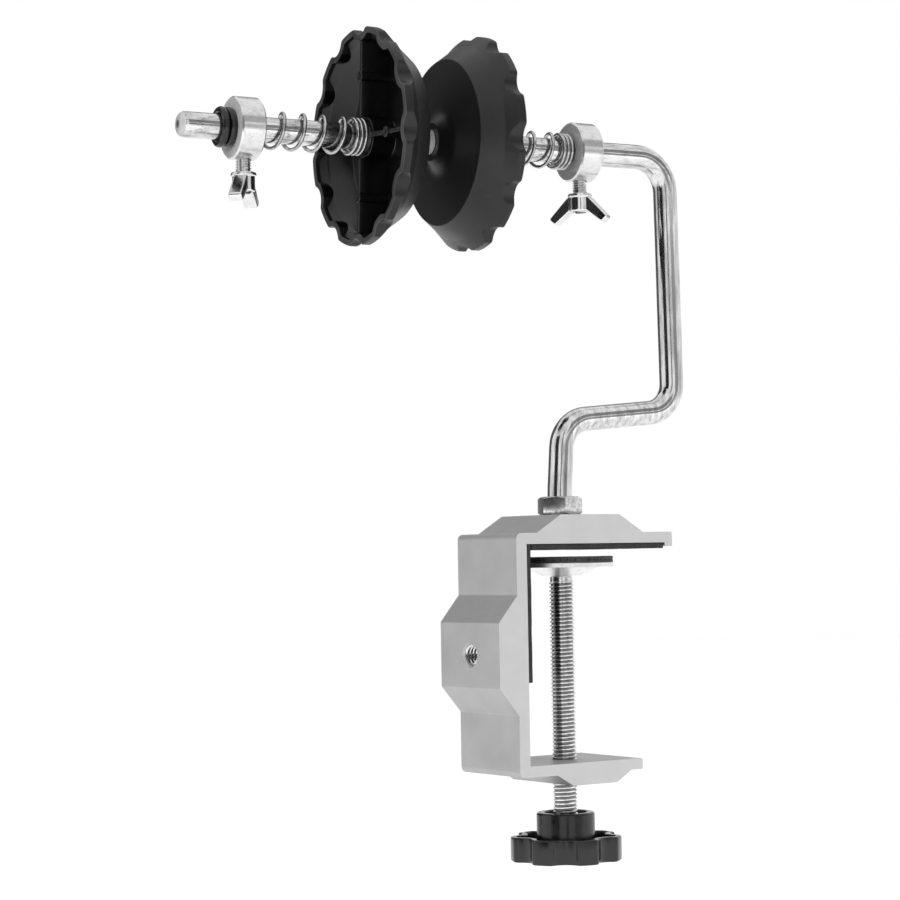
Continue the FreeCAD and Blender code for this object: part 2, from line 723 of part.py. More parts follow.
def make_o_ring(label, station):
    ring = doc.addObject("Part::Torus", label)
    section = s.ring_section / 2
    bind(ring, "Radius1", rod_bore + section)
    bind(ring, "Radius2", section)
    # the ring's own axis is Z, so it is tipped onto the axle, which lies arm_turn from X
    ring.Placement = FreeCAD.Placement(FreeCAD.Vector(), FreeCAD.Rotation(1, 90, 0))
    bind(ring, "Placement.Rotation.Yaw", s.arm_turn)
    bind(ring, "Placement.Rotation.Pitch", 90)
    bind(ring, "Placement.Rotation.Roll", 0)
    bind(ring, "Placement.Base.x", station * cosine(s.arm_turn))
    bind(ring, "Placement.Base.y", station * sine(s.arm_turn))
    bind(ring, "Placement.Base.z", s.axle_height)
    keep(ring, label)


pad_top = -s.clamp_opening
disc_top = pad_top - s.pad_thickness
disc_under = disc_top - s.disc_wall
dish_under = disc_under - s.dish_depth
dish_inside = dish_under + s.disc_wall
knob_top = frame_low - s.knob_drop
rim_top = knob_top - s.knob_hub_height
knob_low = rim_top - s.knob_rim_height
neck_hole = s.neck_diameter / 2 + s.running_gap


def make_pressure_disc():
    body = new_body("pressure_pad")
    edge = s.pad_diameter / 2
    turn_profile(body, [(0, disc_top), (edge, disc_top), (edge, pad_top), (0, pad_top)], "Z")
    finish_edges(body, s.pad_chamfer, circle_edge_at([(pad_top, edge), (disc_top, edge)], "z"), "Chamfer")
    keep(body, "pressure_pad")
    # a stamped steel disc with a dish that holds the screw's riveted end
    body = new_body("pressure_disc")
    edge = s.disc_diameter / 2
    mouth = s.dish_mouth / 2
    floor = s.dish_floor / 2
    turn_profile(body, [(neck_hole, dish_under), (floor, dish_under), (mouth, disc_under), (edge, disc_under),
                        (edge, disc_top), (mouth - s.dish_inset, disc_top), (floor - s.dish_inset, dish_inside),
                        (neck_hole, dish_inside)], "Z")
    keep(body, "pressure_disc")


def make_clamp_screw():
    body = new_body("clamp_screw")
    rivet = s.rivet_diameter / 2
    neck = s.neck_diameter / 2
    shank = s.screw_diameter / 2
    rivet_low = dish_inside + s.rivet_gap
    rivet_top = rivet_low + s.rivet_height
    shoulder = dish_under - s.rivet_gap
    head_top = knob_low + s.head_height + s.rest_gap
    turn_profile(body, [(0, rivet_top), (rivet, rivet_top), (rivet, rivet_low), (neck, rivet_low),
                        (neck, shoulder), (shank, shoulder), (shank, head_top), (0, head_top)], "Z")
    head_low = head_top - s.head_height
    pad_outline(body, "XY_Plane", [hexagon(s.head_across_flats)], s.head_height, "head", symmetric=False,
                offset=head_low)
    finish_edges(body, s.screw_chamfer, circle_edge_at([(shoulder, shank)], "z"), "Chamfer")
    keep(body, "clamp_screw")


def make_knob():
    # a lobed moulding whose rim is a thin wall round a sunk floor, with a hub that grips the screw's head
    rim = s.knob_diameter / 2
    hub = s.knob_hub_diameter / 2
    counterbore = s.counterbore_diameter / 2
    sunk = knob_top - s.counterbore_depth
    shank = screw_bore
    outer = new_body("knob_outside")
    turn_profile(outer, [(shank, knob_low), (rim, knob_low), (rim, rim_top), (hub, rim_top), (hub, knob_top),
                         (counterbore, knob_top), (counterbore, sunk), (shank, sunk)], "Z")
    centre = rim - s.notch_depth + s.notch_radius
    notch_angle = sized(180) / s.lobe_count
    place = (centre * cosine(notch_angle), centre * sine(notch_angle))
    notch = pocket_circle(outer, "XY_Plane", place, s.notch_radius, "notch")
    repeat_around(outer, notch, notch.Profile[0], s.lobe_count, "notches")

    def lobe_corner(edge):
        if not isinstance(edge.Curve, (Part.Line, Part.LineSegment)) or not near(abs(edge.Curve.Direction.z), 1):
            return False
        middle = edge.CenterOfMass
        return near(math.hypot(middle.x, middle.y), rim.value)
    finish_edges(outer, s.lobe_round, lobe_corner)
    finish_edges(outer, s.knob_edge, circle_edge_at([(knob_top, hub), (knob_top, counterbore)], "z"))
    sketch = sketch_on(outer, "XY_Plane", "head_pocket_outline", knob_low)
    draw_outline(sketch, hexagon(s.head_across_flats + s.running_gap * 2))
    pocket = outer.newObject("PartDesign::Pocket", "head_pocket")
    pocket.Profile = sketch
    pocket.Reversed = True
    bind(pocket, "Length", s.head_height + s.rest_gap)
    doc.recompute()

    inner = new_body("knob_inside")
    floor = knob_low + s.knob_floor
    wall = s.knob_wall
    above = rim_top + wall
    turn_profile(inner, [(hub, floor), (rim - wall, floor), (rim - wall, above), (hub, above)], "Z")
    notch = pocket_circle(inner, "XY_Plane", place, s.notch_radius + wall, "notch")
    repeat_around(inner, notch, notch.Profile[0], s.lobe_count, "notches")
    knob = doc.addObject("Part::Cut", "knob")
    knob.Base, knob.Tool = outer, inner
    keep(knob, "knob")


make_clamp_frame()
make_liners()
make_arm_rod()
make_lock_nut()
half_collar = s.collar_width / 2
right_tip = s.right_collar_station - s.spring_length - s.tube_depth
left_tip = right_tip - s.tip_gap
left_collar_station = left_tip - s.tube_depth - s.spring_length
left_collar_face = left_collar_station - s.collar_width
make_collar("right_collar", s.right_collar_station)
make_wing_screw("right", s.right_collar_station + half_collar, s.right_wing_turn)
make_collar("left_collar", left_collar_face)
make_wing_screw("left", left_collar_station - half_collar, s.left_wing_turn)
make_spring("left_spring", left_collar_station)
make_spring("right_spring", s.right_collar_station - s.spring_length)
make_cone("left", left_tip, 180)
make_cone("right", right_tip, 0)
ring_step = s.ring_section + s.ring_gap
make_o_ring("inner_o_ring", left_collar_face - ring_step + s.ring_section / 2)
make_o_ring("outer_o_ring", left_collar_face - ring_step * 2 + s.ring_section / 2)
make_pressure_disc()
make_clamp_screw()
make_knob()

doc.recompute()
for thing in doc.Objects:
    if "Invalid" in thing.State or "Error" in thing.State:
        raise ValueError(f"{thing.Label} did not build: {thing.State}")
for node in nodes:
    if node.Shape.isNull() or not node.Shape.isValid():
        raise ValueError(f"{node.Label} has no valid shape")

os.makedirs("parts", exist_ok=True)
for node in nodes:
    node.Shape.exportStep(f"parts/{node.Label}.step")
    box = node.Shape.BoundBox
    print(f"{node.Label}: {len(node.Shape.Solids)} solid, {node.Shape.Volume:.1f} mm3,"
          f" x {box.XMin:.2f} to {box.XMax:.2f}, y {box.YMin:.2f} to {box.YMax:.2f},"
          f" z {box.ZMin:.2f} to {box.ZMax:.2f}")
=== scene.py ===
import json
import math

import bpy
from mathutils import Matrix, Vector


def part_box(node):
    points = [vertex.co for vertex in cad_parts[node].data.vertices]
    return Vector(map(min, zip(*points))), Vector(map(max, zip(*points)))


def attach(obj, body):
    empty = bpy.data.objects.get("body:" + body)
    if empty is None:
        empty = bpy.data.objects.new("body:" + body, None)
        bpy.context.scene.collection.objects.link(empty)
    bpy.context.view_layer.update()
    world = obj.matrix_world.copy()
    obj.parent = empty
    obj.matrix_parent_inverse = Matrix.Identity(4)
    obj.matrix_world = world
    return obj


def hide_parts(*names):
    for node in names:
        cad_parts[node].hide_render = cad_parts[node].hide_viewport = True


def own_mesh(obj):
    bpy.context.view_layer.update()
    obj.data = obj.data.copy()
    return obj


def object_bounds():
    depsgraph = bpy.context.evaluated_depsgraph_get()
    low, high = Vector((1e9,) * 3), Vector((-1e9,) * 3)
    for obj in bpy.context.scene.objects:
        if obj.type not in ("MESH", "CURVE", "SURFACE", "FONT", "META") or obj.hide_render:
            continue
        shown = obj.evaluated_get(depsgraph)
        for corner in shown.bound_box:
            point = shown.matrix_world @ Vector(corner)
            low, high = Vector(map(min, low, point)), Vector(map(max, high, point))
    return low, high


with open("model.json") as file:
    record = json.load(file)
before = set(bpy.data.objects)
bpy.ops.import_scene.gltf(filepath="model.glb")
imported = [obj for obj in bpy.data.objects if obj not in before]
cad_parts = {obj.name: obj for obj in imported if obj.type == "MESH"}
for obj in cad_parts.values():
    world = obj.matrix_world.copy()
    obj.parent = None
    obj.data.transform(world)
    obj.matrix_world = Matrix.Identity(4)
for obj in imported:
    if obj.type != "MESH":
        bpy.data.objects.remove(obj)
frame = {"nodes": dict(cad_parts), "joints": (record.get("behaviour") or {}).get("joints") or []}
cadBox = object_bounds()
mm = 0.001
print("frame loaded:", len(frame["nodes"]), "nodes")

# places that come from the frame
joints = {joint["name"]: joint for joint in frame["joints"]}
axleWay = Vector(joints["right_cone_spin"]["axis"]).normalized()  # along the axle, towards the upright
axleHeight = joints["right_cone_spin"]["pos_m"][2]
armTurn = math.atan2(axleWay.y, axleWay.x)


def alongAxle(node):
    # a node's two ends along the axle, from the clamp's axis, in millimetres
    stations = [vertex.co.dot(axleWay) / mm for vertex in frame["nodes"][node].data.vertices]
    return min(stations), max(stations)


def heights(node):
    low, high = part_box(node)
    return low.z / mm, high.z / mm


tips = alongAxle("left_cone")[1], alongAxle("right_cone")[0]
tipGap = tips[1] - tips[0]
axleMiddle = axleWay * (sum(tips) / 2 * mm)


# ways of modelling that several pieces share

def clearSelection():
    if bpy.context.object and bpy.context.object.mode != "OBJECT":
        setMode("OBJECT")
    bpy.ops.object.select_all(action="DESELECT")


def setMode(mode):
    bpy.ops.object.mode_set(mode=mode)


def selectOnly(piece):
    clearSelection()
    piece.select_set(True)
    bpy.context.view_layer.objects.active = piece


def applyModifier(piece, kind, **settings):
    selectOnly(piece)
    modifier = piece.modifiers.new(kind.lower(), kind)
    for name, value in settings.items():
        setattr(modifier, name, value)
    bpy.ops.object.modifier_apply(modifier=modifier.name)


def roundCorners(corners, steps=4):
    # corners are (along, radius) or (along, radius, round), and a third number rounds that corner
    points = []
    count = len(corners)
    for k, corner in enumerate(corners):
        here = Vector(corner[:2])
        if len(corner) < 3:
            points.append(here)
            continue
        back = (Vector(corners[k - 1][:2]) - here)
        ahead = (Vector(corners[(k + 1) % count][:2]) - here)
        half = back.angle(ahead) / 2
        reach = min(corner[2] / math.tan(half), back.length * 0.49, ahead.length * 0.49)
        radius = reach * math.tan(half)
        back.normalize()
        ahead.normalize()
        centre = here + (back + ahead).normalized() * (radius / math.sin(half))
        start = here + back * reach - centre
        sweep = start.angle_signed(here + ahead * reach - centre)
        for step in range(steps + 1):
            turn = Matrix.Rotation(-sweep * step / steps, 2)
            points.append(centre + turn @ start)
    return points


def drawPath(name, places, closed=False):
    # one vertex is extruded from place to place
    clearSelection()
    bpy.ops.mesh.primitive_plane_add(size=mm)
    piece = bpy.context.active_object
    piece.name = name
    setMode("EDIT")
    bpy.ops.mesh.select_all(action="SELECT")
    bpy.ops.mesh.merge(type="CENTER")
    bpy.ops.transform.translate(value=places[0])
    for start, end in zip(places, places[1:]):
        bpy.ops.mesh.extrude_region_move(TRANSFORM_OT_translate={"value": end - start})
    if closed:
        setMode("OBJECT")
        for k, vertex in enumerate(piece.data.vertices):
            vertex.select = k in (0, len(places) - 1)
        setMode("EDIT")
        bpy.ops.mesh.edge_face_add()
    return piece


def mergeAndTurnOut():
    # the mesh is in edit mode, and its faces look outwards afterwards
    bpy.ops.mesh.select_all(action="SELECT")
    bpy.ops.mesh.remove_doubles(threshold=0.000001)
    bpy.ops.mesh.normals_make_consistent(inside=False)


def drawOutline(name, points, closed=True):
    return drawPath(name, [Vector((x, 0, z)) * mm for x, z in points], closed)


def spinOutline(name, points, steps, axis, closed=True):
    # the outline holds (along, radius) and turns once round the X or Z axis
    if axis == "Z":
        points = [(radius, along) for along, radius in points]
    piece = drawOutline(name, points, closed)
    bpy.ops.mesh.select_all(action="SELECT")
    way = (1, 0, 0) if axis == "X" else (0, 0, 1)
    bpy.ops.mesh.spin(steps=steps, angle=2 * math.pi, center=(0, 0, 0), axis=way)
    mergeAndTurnOut()
    setMode("OBJECT")
    return piece


def extrudeOutline(name, points, depth):
    # a flat outline in the XZ plane, given its thickness along Y
    piece = drawOutline(name, points)
    bpy.ops.mesh.select_all(action="SELECT")
    bpy.ops.mesh.edge_face_add()
    bpy.ops.mesh.extrude_region_move(TRANSFORM_OT_translate={"value": (0, depth * mm, 0)})
    bpy.ops.mesh.select_all(action="SELECT")
    bpy.ops.transform.translate(value=(0, -depth * mm / 2, 0))
    bpy.ops.mesh.normals_make_consistent(inside=False)
    setMode("OBJECT")
    return piece


def softenEdges(piece, width, segments=2, angle=30):
    applyModifier(piece, "BEVEL", width=width * mm, segments=segments, limit_method="ANGLE",
                  angle_limit=math.radians(angle), harden_normals=False)


def copyPiece(piece, name):
    selectOnly(piece)
    bpy.ops.object.duplicate(linked=False)
    twin = bpy.context.active_object
    twin.name = name
    return twin


def notchedRadius(angle, make):
    # a rim's radius at an angle, with round notches cut into it and their shoulders rounded
    pitch = 2 * math.pi / make["count"]
    away = abs((angle - make["first"] + pitch / 2) % pitch - pitch / 2)
    inner = make["rim"] - make["shoulder"]
    centre = make["centre"]
    reach = make["notch"] + make["shoulder"]
    turn = math.acos((inner ** 2 + centre ** 2 - reach ** 2) / (2 * inner * centre))
    corner = Vector((inner * math.cos(turn), inner * math.sin(turn)))
    meet = Vector((centre, 0)).lerp(corner, make["notch"] / reach)
    if away >= turn:
        return make["rim"]
    if away >= math.atan2(meet.y, meet.x):
        off = turn - away
        return inner * math.cos(off) + math.sqrt(make["shoulder"] ** 2 - (inner * math.sin(off)) ** 2)
    return centre * math.cos(away) - math.sqrt(make["notch"] ** 2 - (centre * math.sin(away)) ** 2)


def smoothByAngle(piece, degrees=35):
    selectOnly(piece)
    bpy.ops.object.shade_smooth_by_angle(angle=math.radians(degrees))


def joinPieces(pieces):
    clearSelection()
    for piece in pieces:
        piece.select_set(True)
    bpy.context.view_layer.objects.active = pieces[0]
    bpy.ops.object.join()
    return pieces[0]


def settle(piece, matrix):
    # puts the place into the mesh and leaves the object at the origin
    piece.matrix_world = matrix @ piece.matrix_world
    selectOnly(piece)
    bpy.ops.object.transform_apply(location=True, rotation=True, scale=True)
    return piece


def onAxle(station, height=None, turn=0.0):
    place = axleWay * (station * mm)
    place.z = axleHeight if height is None else height * mm
    return Matrix.Translation(place) @ Matrix.Rotation(armTurn + turn, 4, "Z")


def finishPiece(piece, name, body, slot, material, *nodes):
    piece.name = name
    piece.data.name = name
    piece.data.materials.clear()
    piece.data.materials.append(material)
    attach(piece, body)
    if nodes:
        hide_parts(*nodes)
    return piece


threadForm = {"depth": 0.43, "rootFlat": 0.08, "crestFlat": 0.38}  # shares of the pitch


def thread(name, make):
    # one pitch of thread, wound up the Z axis and cut flat at both ends, as a rod or as a sleeve with a wall
    pitch = make["pitch"]
    crest = make["radius"]
    root = crest - pitch * threadForm["depth"]
    turns = math.ceil(make["length"] / pitch) + 2
    flat, top = threadForm["rootFlat"], threadForm["crestFlat"]
    tooth = [(root, 0), (root, pitch * flat), (crest, pitch * top), (crest, pitch * (1 - top)),
             (root, pitch * (1 - flat)), (root, pitch)]
    piece = drawOutline(name, tooth, closed=False)
    setMode("OBJECT")
    applyModifier(piece, "SCREW", angle=2 * math.pi, screw_offset=pitch * mm, iterations=turns,
                  steps=make["steps"], render_steps=make["steps"], use_merge_vertices=True,
                  merge_threshold=0.000002, axis="Z")
    setMode("EDIT")
    for height, outwards in ((pitch, False), (pitch + make["length"], True)):
        bpy.ops.mesh.select_all(action="SELECT")
        bpy.ops.mesh.bisect(plane_co=(0, 0, height * mm), plane_no=(0, 0, 1), use_fill=not make.get("wall"),
                            clear_outer=outwards, clear_inner=not outwards)
    mergeAndTurnOut()
    bpy.ops.transform.translate(value=(0, 0, -pitch * mm))
    setMode("OBJECT")
    if make.get("wall"):
        applyModifier(piece, "SOLIDIFY", thickness=make["wall"] * mm, offset=-1)
        setMode("EDIT")
        bpy.ops.mesh.select_all(action="SELECT")
        bpy.ops.mesh.normals_make_consistent(inside=False)
        setMode("OBJECT")
    return piece


# ways of making materials that several finishes share

def newMaterial(name):
    material = bpy.data.materials.new(name)
    material.use_nodes = True
    tree = material.node_tree
    return material, tree, tree.nodes["Principled BSDF"], tree.nodes.new("ShaderNodeTexCoord")


def feed(node, socket, value):
    # a number or a colour is set, and another node's output is linked
    if isinstance(value, (int, float)):
        node.inputs[socket].default_value = value
    elif isinstance(value, tuple):
        node.inputs[socket].default_value = (*value, 1)
    else:
        node.id_data.links.new(value, node.inputs[socket])


def addMapping(tree, coords, scale=(1, 1, 1), turn=(0, 0, 0), place=(0, 0, 0)):
    mapping = tree.nodes.new("ShaderNodeMapping")
    mapping.vector_type = "TEXTURE"
    mapping.inputs["Location"].default_value = place
    mapping.inputs["Rotation"].default_value = turn
    mapping.inputs["Scale"].default_value = scale
    feed(mapping, "Vector", coords.outputs["Object"])
    return mapping.outputs["Vector"]


def addNoise(tree, vector, size, detail=3.0, rough=0.5, distortion=0.0):
    # size is the blotches' width in millimetres
    noise = tree.nodes.new("ShaderNodeTexNoise")
    feed(noise, "Scale", 1 / (size * mm))
    feed(noise, "Detail", detail)
    feed(noise, "Roughness", rough)
    feed(noise, "Distortion", distortion)
    feed(noise, "Vector", vector)
    return noise.outputs["Fac"]


def addRamp(tree, factor, stops):
    # stops are (place, grey)
    ramp = tree.nodes.new("ShaderNodeValToRGB")
    elements = ramp.color_ramp.elements
    while len(elements) < len(stops):
        elements.new(0.5)
    for element, (place, grey) in zip(elements, stops):
        element.position = place
        element.color = (grey, grey, grey, 1)
    feed(ramp, "Fac", factor)
    return ramp.outputs["Color"]


def addMix(tree, factor, first, second):
    mix = tree.nodes.new("ShaderNodeMix")
    mix.data_type = "RGBA"
    for socket, value in ((0, factor), (6, first), (7, second)):
        feed(mix, socket, value)
    return mix.outputs[2]


def addBump(tree, shader, height, strength, distance):
    bump = tree.nodes.new("ShaderNodeBump")
    feed(bump, "Strength", strength)
    feed(bump, "Distance", distance * mm)
    feed(bump, "Height", height)
    feed(shader, "Normal", bump.outputs["Normal"])


def addSplit(tree, vector):
    split = tree.nodes.new("ShaderNodeSeparateXYZ")
    feed(split, 0, vector)
    return split.outputs


def addMaths(tree, kind, first, second=0.0):
    maths = tree.nodes.new("ShaderNodeMath")
    maths.operation = kind
    feed(maths, 0, first)
    feed(maths, 1, second)
    return maths.outputs[0]


def addSquares(tree, first, second):
    return addMaths(tree, "ADD", addMaths(tree, "MULTIPLY", first, first),
                    addMaths(tree, "MULTIPLY", second, second))


# the finishes

satin = {"sawn": 0.60, "drawn": 0.53, "patch": 0.07, "rough": 0.40, "lineWidth": 0.10, "metal": 0.62}


def satinAluminium():
    # the sawn faces look along Y and are a little paler, the drawn faces are cloudy with a few dull blotches
    material, tree, shader, coords = newMaterial("satinAluminium")
    vector = addMapping(tree, coords)
    facing = addMaths(tree, "ABSOLUTE", addSplit(tree, coords.outputs["Normal"])[1])
    sawn = addRamp(tree, facing, [(0.55, 0.0), (0.85, 1.0)])
    clouds = addNoise(tree, vector, 14, 4, 0.55)
    drawn = addRamp(tree, clouds, [(0.3, satin["drawn"] - satin["patch"]), (0.7, satin["drawn"])])
    haze = addNoise(tree, vector, 5, 3)
    cut = addRamp(tree, haze, [(0.3, satin["sawn"] - 0.015), (0.7, satin["sawn"] + 0.01)])
    feed(shader, "Base Color", addMix(tree, sawn, drawn, cut))
    lines = addNoise(tree, addMapping(tree, coords, scale=(1, 40, 1)), satin["lineWidth"], 2)
    rough = addRamp(tree, clouds, [(0.3, satin["rough"] + 0.08), (0.7, satin["rough"])])
    feed(shader, "Roughness", rough)
    grain = addNoise(tree, vector, 0.35, 3, 0.6)
    addBump(tree, shader, addMix(tree, sawn, lines, grain), 0.10, 0.02)
    feed(shader, "Metallic", satin["metal"])
    return material


# at the axle's end a dark centre spot is painted, a painted shade of a dimple
# the pale grey between the cones' tips is a painted highlight
chrome = {"grey": 0.74, "dull": 0.40, "scuff": 0.22, "rough": 0.05, "endDepth": 1.3, "paintedDimpleShade": 5.0,
          "paled": 0.9, "paintedHighlightPast": 1.5, "satin": 0.4, "below": 6.0}


def chromePlate():
    # plated bar with a faint haze, a soft ripple along it and fine drawn marks; the haze darkens the colour
    # in patches, partly the plating's own haze and partly a painted reflection of darker surroundings
    material, tree, shader, coords = newMaterial("chromePlate")
    vector = addMapping(tree, coords)
    axis = addMapping(tree, coords, turn=(0, 0, armTurn), place=(0, 0, axleHeight))
    split = addSplit(tree, axis)
    above = addMaths(tree, "GREATER_THAN", split[2], -chrome["below"] * mm)
    upHaze = addNoise(tree, addMapping(tree, coords, scale=(1, 1, 7)), 1.5, 5, 0.6, 0.3)
    axleHaze = addNoise(tree, addMapping(tree, coords, scale=(4, 1, 1), turn=(0, 0, armTurn)),
                        1.5, 5, 0.65, 0.3)
    haze = addMix(tree, above, upHaze, axleHaze)
    # the darker patches are partly a painted reflection of darker surroundings
    hazeAndPaintedReflection = addRamp(tree, haze, [(0.34, chrome["dull"]), (0.62, chrome["grey"])])
    # the collars have scuffed the axle where they slide
    scuffs = addNoise(tree, addMapping(tree, coords, scale=(2.5, 1, 1), turn=(0, 0, armTurn)),
                      1.6, 6, 0.7, 0.8)
    slid = addMaths(tree, "MULTIPLY", above, addMaths(tree, "LESS_THAN", split[0], 0.0))
    scuffed = addRamp(tree, scuffs, [(0.53, 0.0), (0.62, 0.8)])
    scuffMask = addMaths(tree, "MULTIPLY", slid, scuffed)
    plate = addMix(tree, scuffMask, hazeAndPaintedReflection, (chrome["scuff"],) * 3)
    dull = addRamp(tree, haze, [(0.4, chrome["rough"] + 0.13), (0.7, chrome["rough"])])
    # the axle's free end is turned flat and satin, and its centre is painted dark, a painted shade of a
    # shallow dimple
    limit = (alongAxle("arm_rod")[0] + chrome["endDepth"]) * mm
    end = addMaths(tree, "LESS_THAN", split[0], limit)
    out = addSquares(tree, split[1], split[2])
    face = addRamp(tree, addMaths(tree, "MULTIPLY", out, 1 / (chrome["paintedDimpleShade"] * mm) ** 2),
                   [(0.03, 0.12), (0.09, 0.62)])
    ended = addMix(tree, end, plate, face)
    # between the cones' tips the rod is painted a pale grey, a painted highlight, with a rougher, less
    # metallic satin
    off = addMaths(tree, "ABSOLUTE", addMaths(tree, "SUBTRACT", split[0], sum(tips) / 2 * mm))
    paled = addMaths(tree, "LESS_THAN", off, (tipGap / 2 + chrome["paintedHighlightPast"]) * mm)
    feed(shader, "Base Color", addMix(tree, paled, ended, (chrome["paled"],) * 3))
    satinPart = addMaths(tree, "MAXIMUM", end, paled)
    feed(shader, "Roughness", addMix(tree, satinPart, dull, (chrome["satin"],) * 3))
    feed(shader, "Metallic", addRamp(tree, satinPart, [(0.0, 1.0), (1.0, 0.35)]))
    ripple = addNoise(tree, vector, 2.2, 4, 0.55)
    addBump(tree, shader, ripple, 0.16, 0.05)
    return material


nickel = {"mottle": 0.9, "blotch": 3.5}


def machinedNickel(name, turned, grey, rough, bump=0.10):
    # collars carry fine turning lines round the axle, castings only a mottle; the mottle darkens the colour
    # in patches, partly the metal's own tone and partly a painted reflection
    material, tree, shader, coords = newMaterial(name)
    vector = addMapping(tree, coords, turn=(0, 0, armTurn))
    mottle = addNoise(tree, vector, nickel["mottle"], 5, 0.65)
    blotch = addNoise(tree, vector, nickel["blotch"], 4, 0.6)
    both = addMix(tree, 0.5, mottle, blotch)
    # the darker patches are partly a painted reflection of textured surroundings
    feed(shader, "Base Color", addRamp(tree, both, [(0.36, grey - 0.16), (0.52, grey)]))
    feed(shader, "Roughness", addRamp(tree, blotch, [(0.35, rough + 0.08), (0.7, rough)]))
    height = mottle
    if turned:
        linesAt = addMapping(tree, coords, scale=(1, 60, 60), turn=(0, 0, armTurn))
        height = addMix(tree, 0.5, mottle, addNoise(tree, linesAt, 0.15, 2))
    addBump(tree, shader, height, bump, 0.03)
    feed(shader, "Metallic", 1)
    if turned:
        # the flat ends are satin, the turned rim is bright
        facing = tree.nodes.new("ShaderNodeVectorMath")
        facing.operation = "DOT_PRODUCT"
        feed(facing, 0, coords.outputs["Normal"])
        facing.inputs[1].default_value = axleWay
        end = addMaths(tree, "ABSOLUTE", facing.outputs["Value"])
        feed(shader, "Metallic", addRamp(tree, end, [(0.80, 0.80), (0.95, 0.30)]))
    return material


def zincThread(name, dark, pale, size, crest=None):
    # bright plating, and with a crest radius the grooves round the Z axis are darker
    material, tree, shader, coords = newMaterial(name)
    vector = addMapping(tree, coords)
    cloud = addNoise(tree, vector, size, 4, 0.6)
    plate = addRamp(tree, cloud, [(0.35, dark), (0.62, pale)])
    if crest:
        split = addSplit(tree, coords.outputs["Object"])
        out = addSquares(tree, split[0], split[1])
        share = addMaths(tree, "DIVIDE", addMaths(tree, "SQRT", out), crest * mm)
        # the grooves are made darker than the crests
        groove = addRamp(tree, share, [(0.885, 0.75), (0.945, 0.0)])
        plate = addMix(tree, groove, plate, (0.10, 0.10, 0.10))
    feed(shader, "Base Color", plate)
    feed(shader, "Roughness", addRamp(tree, cloud, [(0.3, 0.26), (0.7, 0.14)]))
    addBump(tree, shader, cloud, 0.12, 0.04)
    feed(shader, "Metallic", 1)
    return material


def springWire():
    material, tree, shader, coords = newMaterial("springWire")
    vector = addMapping(tree, coords)
    cloud = addNoise(tree, vector, 1.2, 3)
    feed(shader, "Base Color", addRamp(tree, cloud, [(0.3, 0.34), (0.7, 0.56)]))
    feed(shader, "Roughness", addRamp(tree, cloud, [(0.3, 0.2), (0.7, 0.10)]))
    addBump(tree, shader, cloud, 0.08, 0.02)
    feed(shader, "Metallic", 1)
    return material


# edge is the paler rear rim, partly wear and partly a painted highlight
# inside is the darker colour of the shells' hollow, a painted shade
moulded = {"grey": 0.006, "pale": 0.010, "rough": 0.36, "smooth": 0.24, "grain": 0.32, "speck": 0.07,
           "rub": 0.03, "inside": 0.0035, "edge": 0.06, "front": 6.6, "rear": 17.75, "slope": 0.72,
           "slopeStart": 21.6, "widest": 30.6}


def conePlastic():
    # satin black moulding with a fine spark-eroded grain, dust specks, cloudy gloss and dull rubs
    material, tree, shader, coords = newMaterial("conePlastic")
    vector = addMapping(tree, coords)
    clouds = addNoise(tree, vector, 11, 4)
    specks = addNoise(tree, vector, 0.4, 2)
    rubs = addNoise(tree, vector, 3.2, 5, 0.7, 0.6)
    base = addRamp(tree, clouds, [(0.3, moulded["grey"]), (0.7, moulded["pale"])])
    rubMask = addRamp(tree, rubs, [(0.60, 0.0), (0.75, 0.5)])
    paled = addMix(tree, rubMask, base, (moulded["rub"],) * 3)
    speckMask = addRamp(tree, specks, [(0.72, 0.0), (0.79, 1.0)])
    specked = addMix(tree, speckMask, paled, (moulded["speck"],) * 3)
    # the smooth inside of both shells, told by its distance from the tips and from the axle, is painted
    # darker, a painted shade in the hollow
    axis = addMapping(tree, coords, turn=(0, 0, armTurn), place=(*axleMiddle.xy, axleHeight))
    split = addSplit(tree, axis)
    along = addMaths(tree, "SUBTRACT", addMaths(tree, "ABSOLUTE", split[0]), tipGap / 2 * mm)
    out = addMaths(tree, "SQRT", addSquares(tree, split[1], split[2]))
    slope = addMaths(tree, "ADD", addMaths(tree, "MULTIPLY", along, moulded["slope"]),
                     moulded["slopeStart"] * mm)
    wall = addMaths(tree, "MINIMUM", slope, moulded["widest"] * mm)
    shadedInside = addMaths(tree, "MULTIPLY", addMaths(tree, "LESS_THAN", out, wall),
                      addMaths(tree, "GREATER_THAN", along, moulded["front"] * mm))
    # the rear edge is painted a little paler, partly wear and partly a painted highlight along the rim
    rear = addMaths(tree, "GREATER_THAN", along, moulded["rear"] * mm)
    wearAndPaintedHighlight = addMaths(tree, "MULTIPLY", rear, addRamp(tree, clouds, [(0.35, 0.35), (0.6, 1.0)]))
    outside = addMix(tree, wearAndPaintedHighlight, specked, (moulded["edge"],) * 3)
    # the inside's darker colour is a painted shade
    feed(shader, "Base Color", addMix(tree, shadedInside, outside, (moulded["inside"],) * 3))
    rough = addRamp(tree, clouds, [(0.3, moulded["rough"] + 0.07), (0.75, moulded["rough"] - 0.05)])
    feed(shader, "Roughness", addMix(tree, shadedInside, rough, (moulded["smooth"],) * 3))
    grain = addNoise(tree, vector, moulded["grain"], 3, 0.6)
    addBump(tree, shader, grain, 0.60, 0.06)
    feed(shader, "IOR", 1.45)
    return material


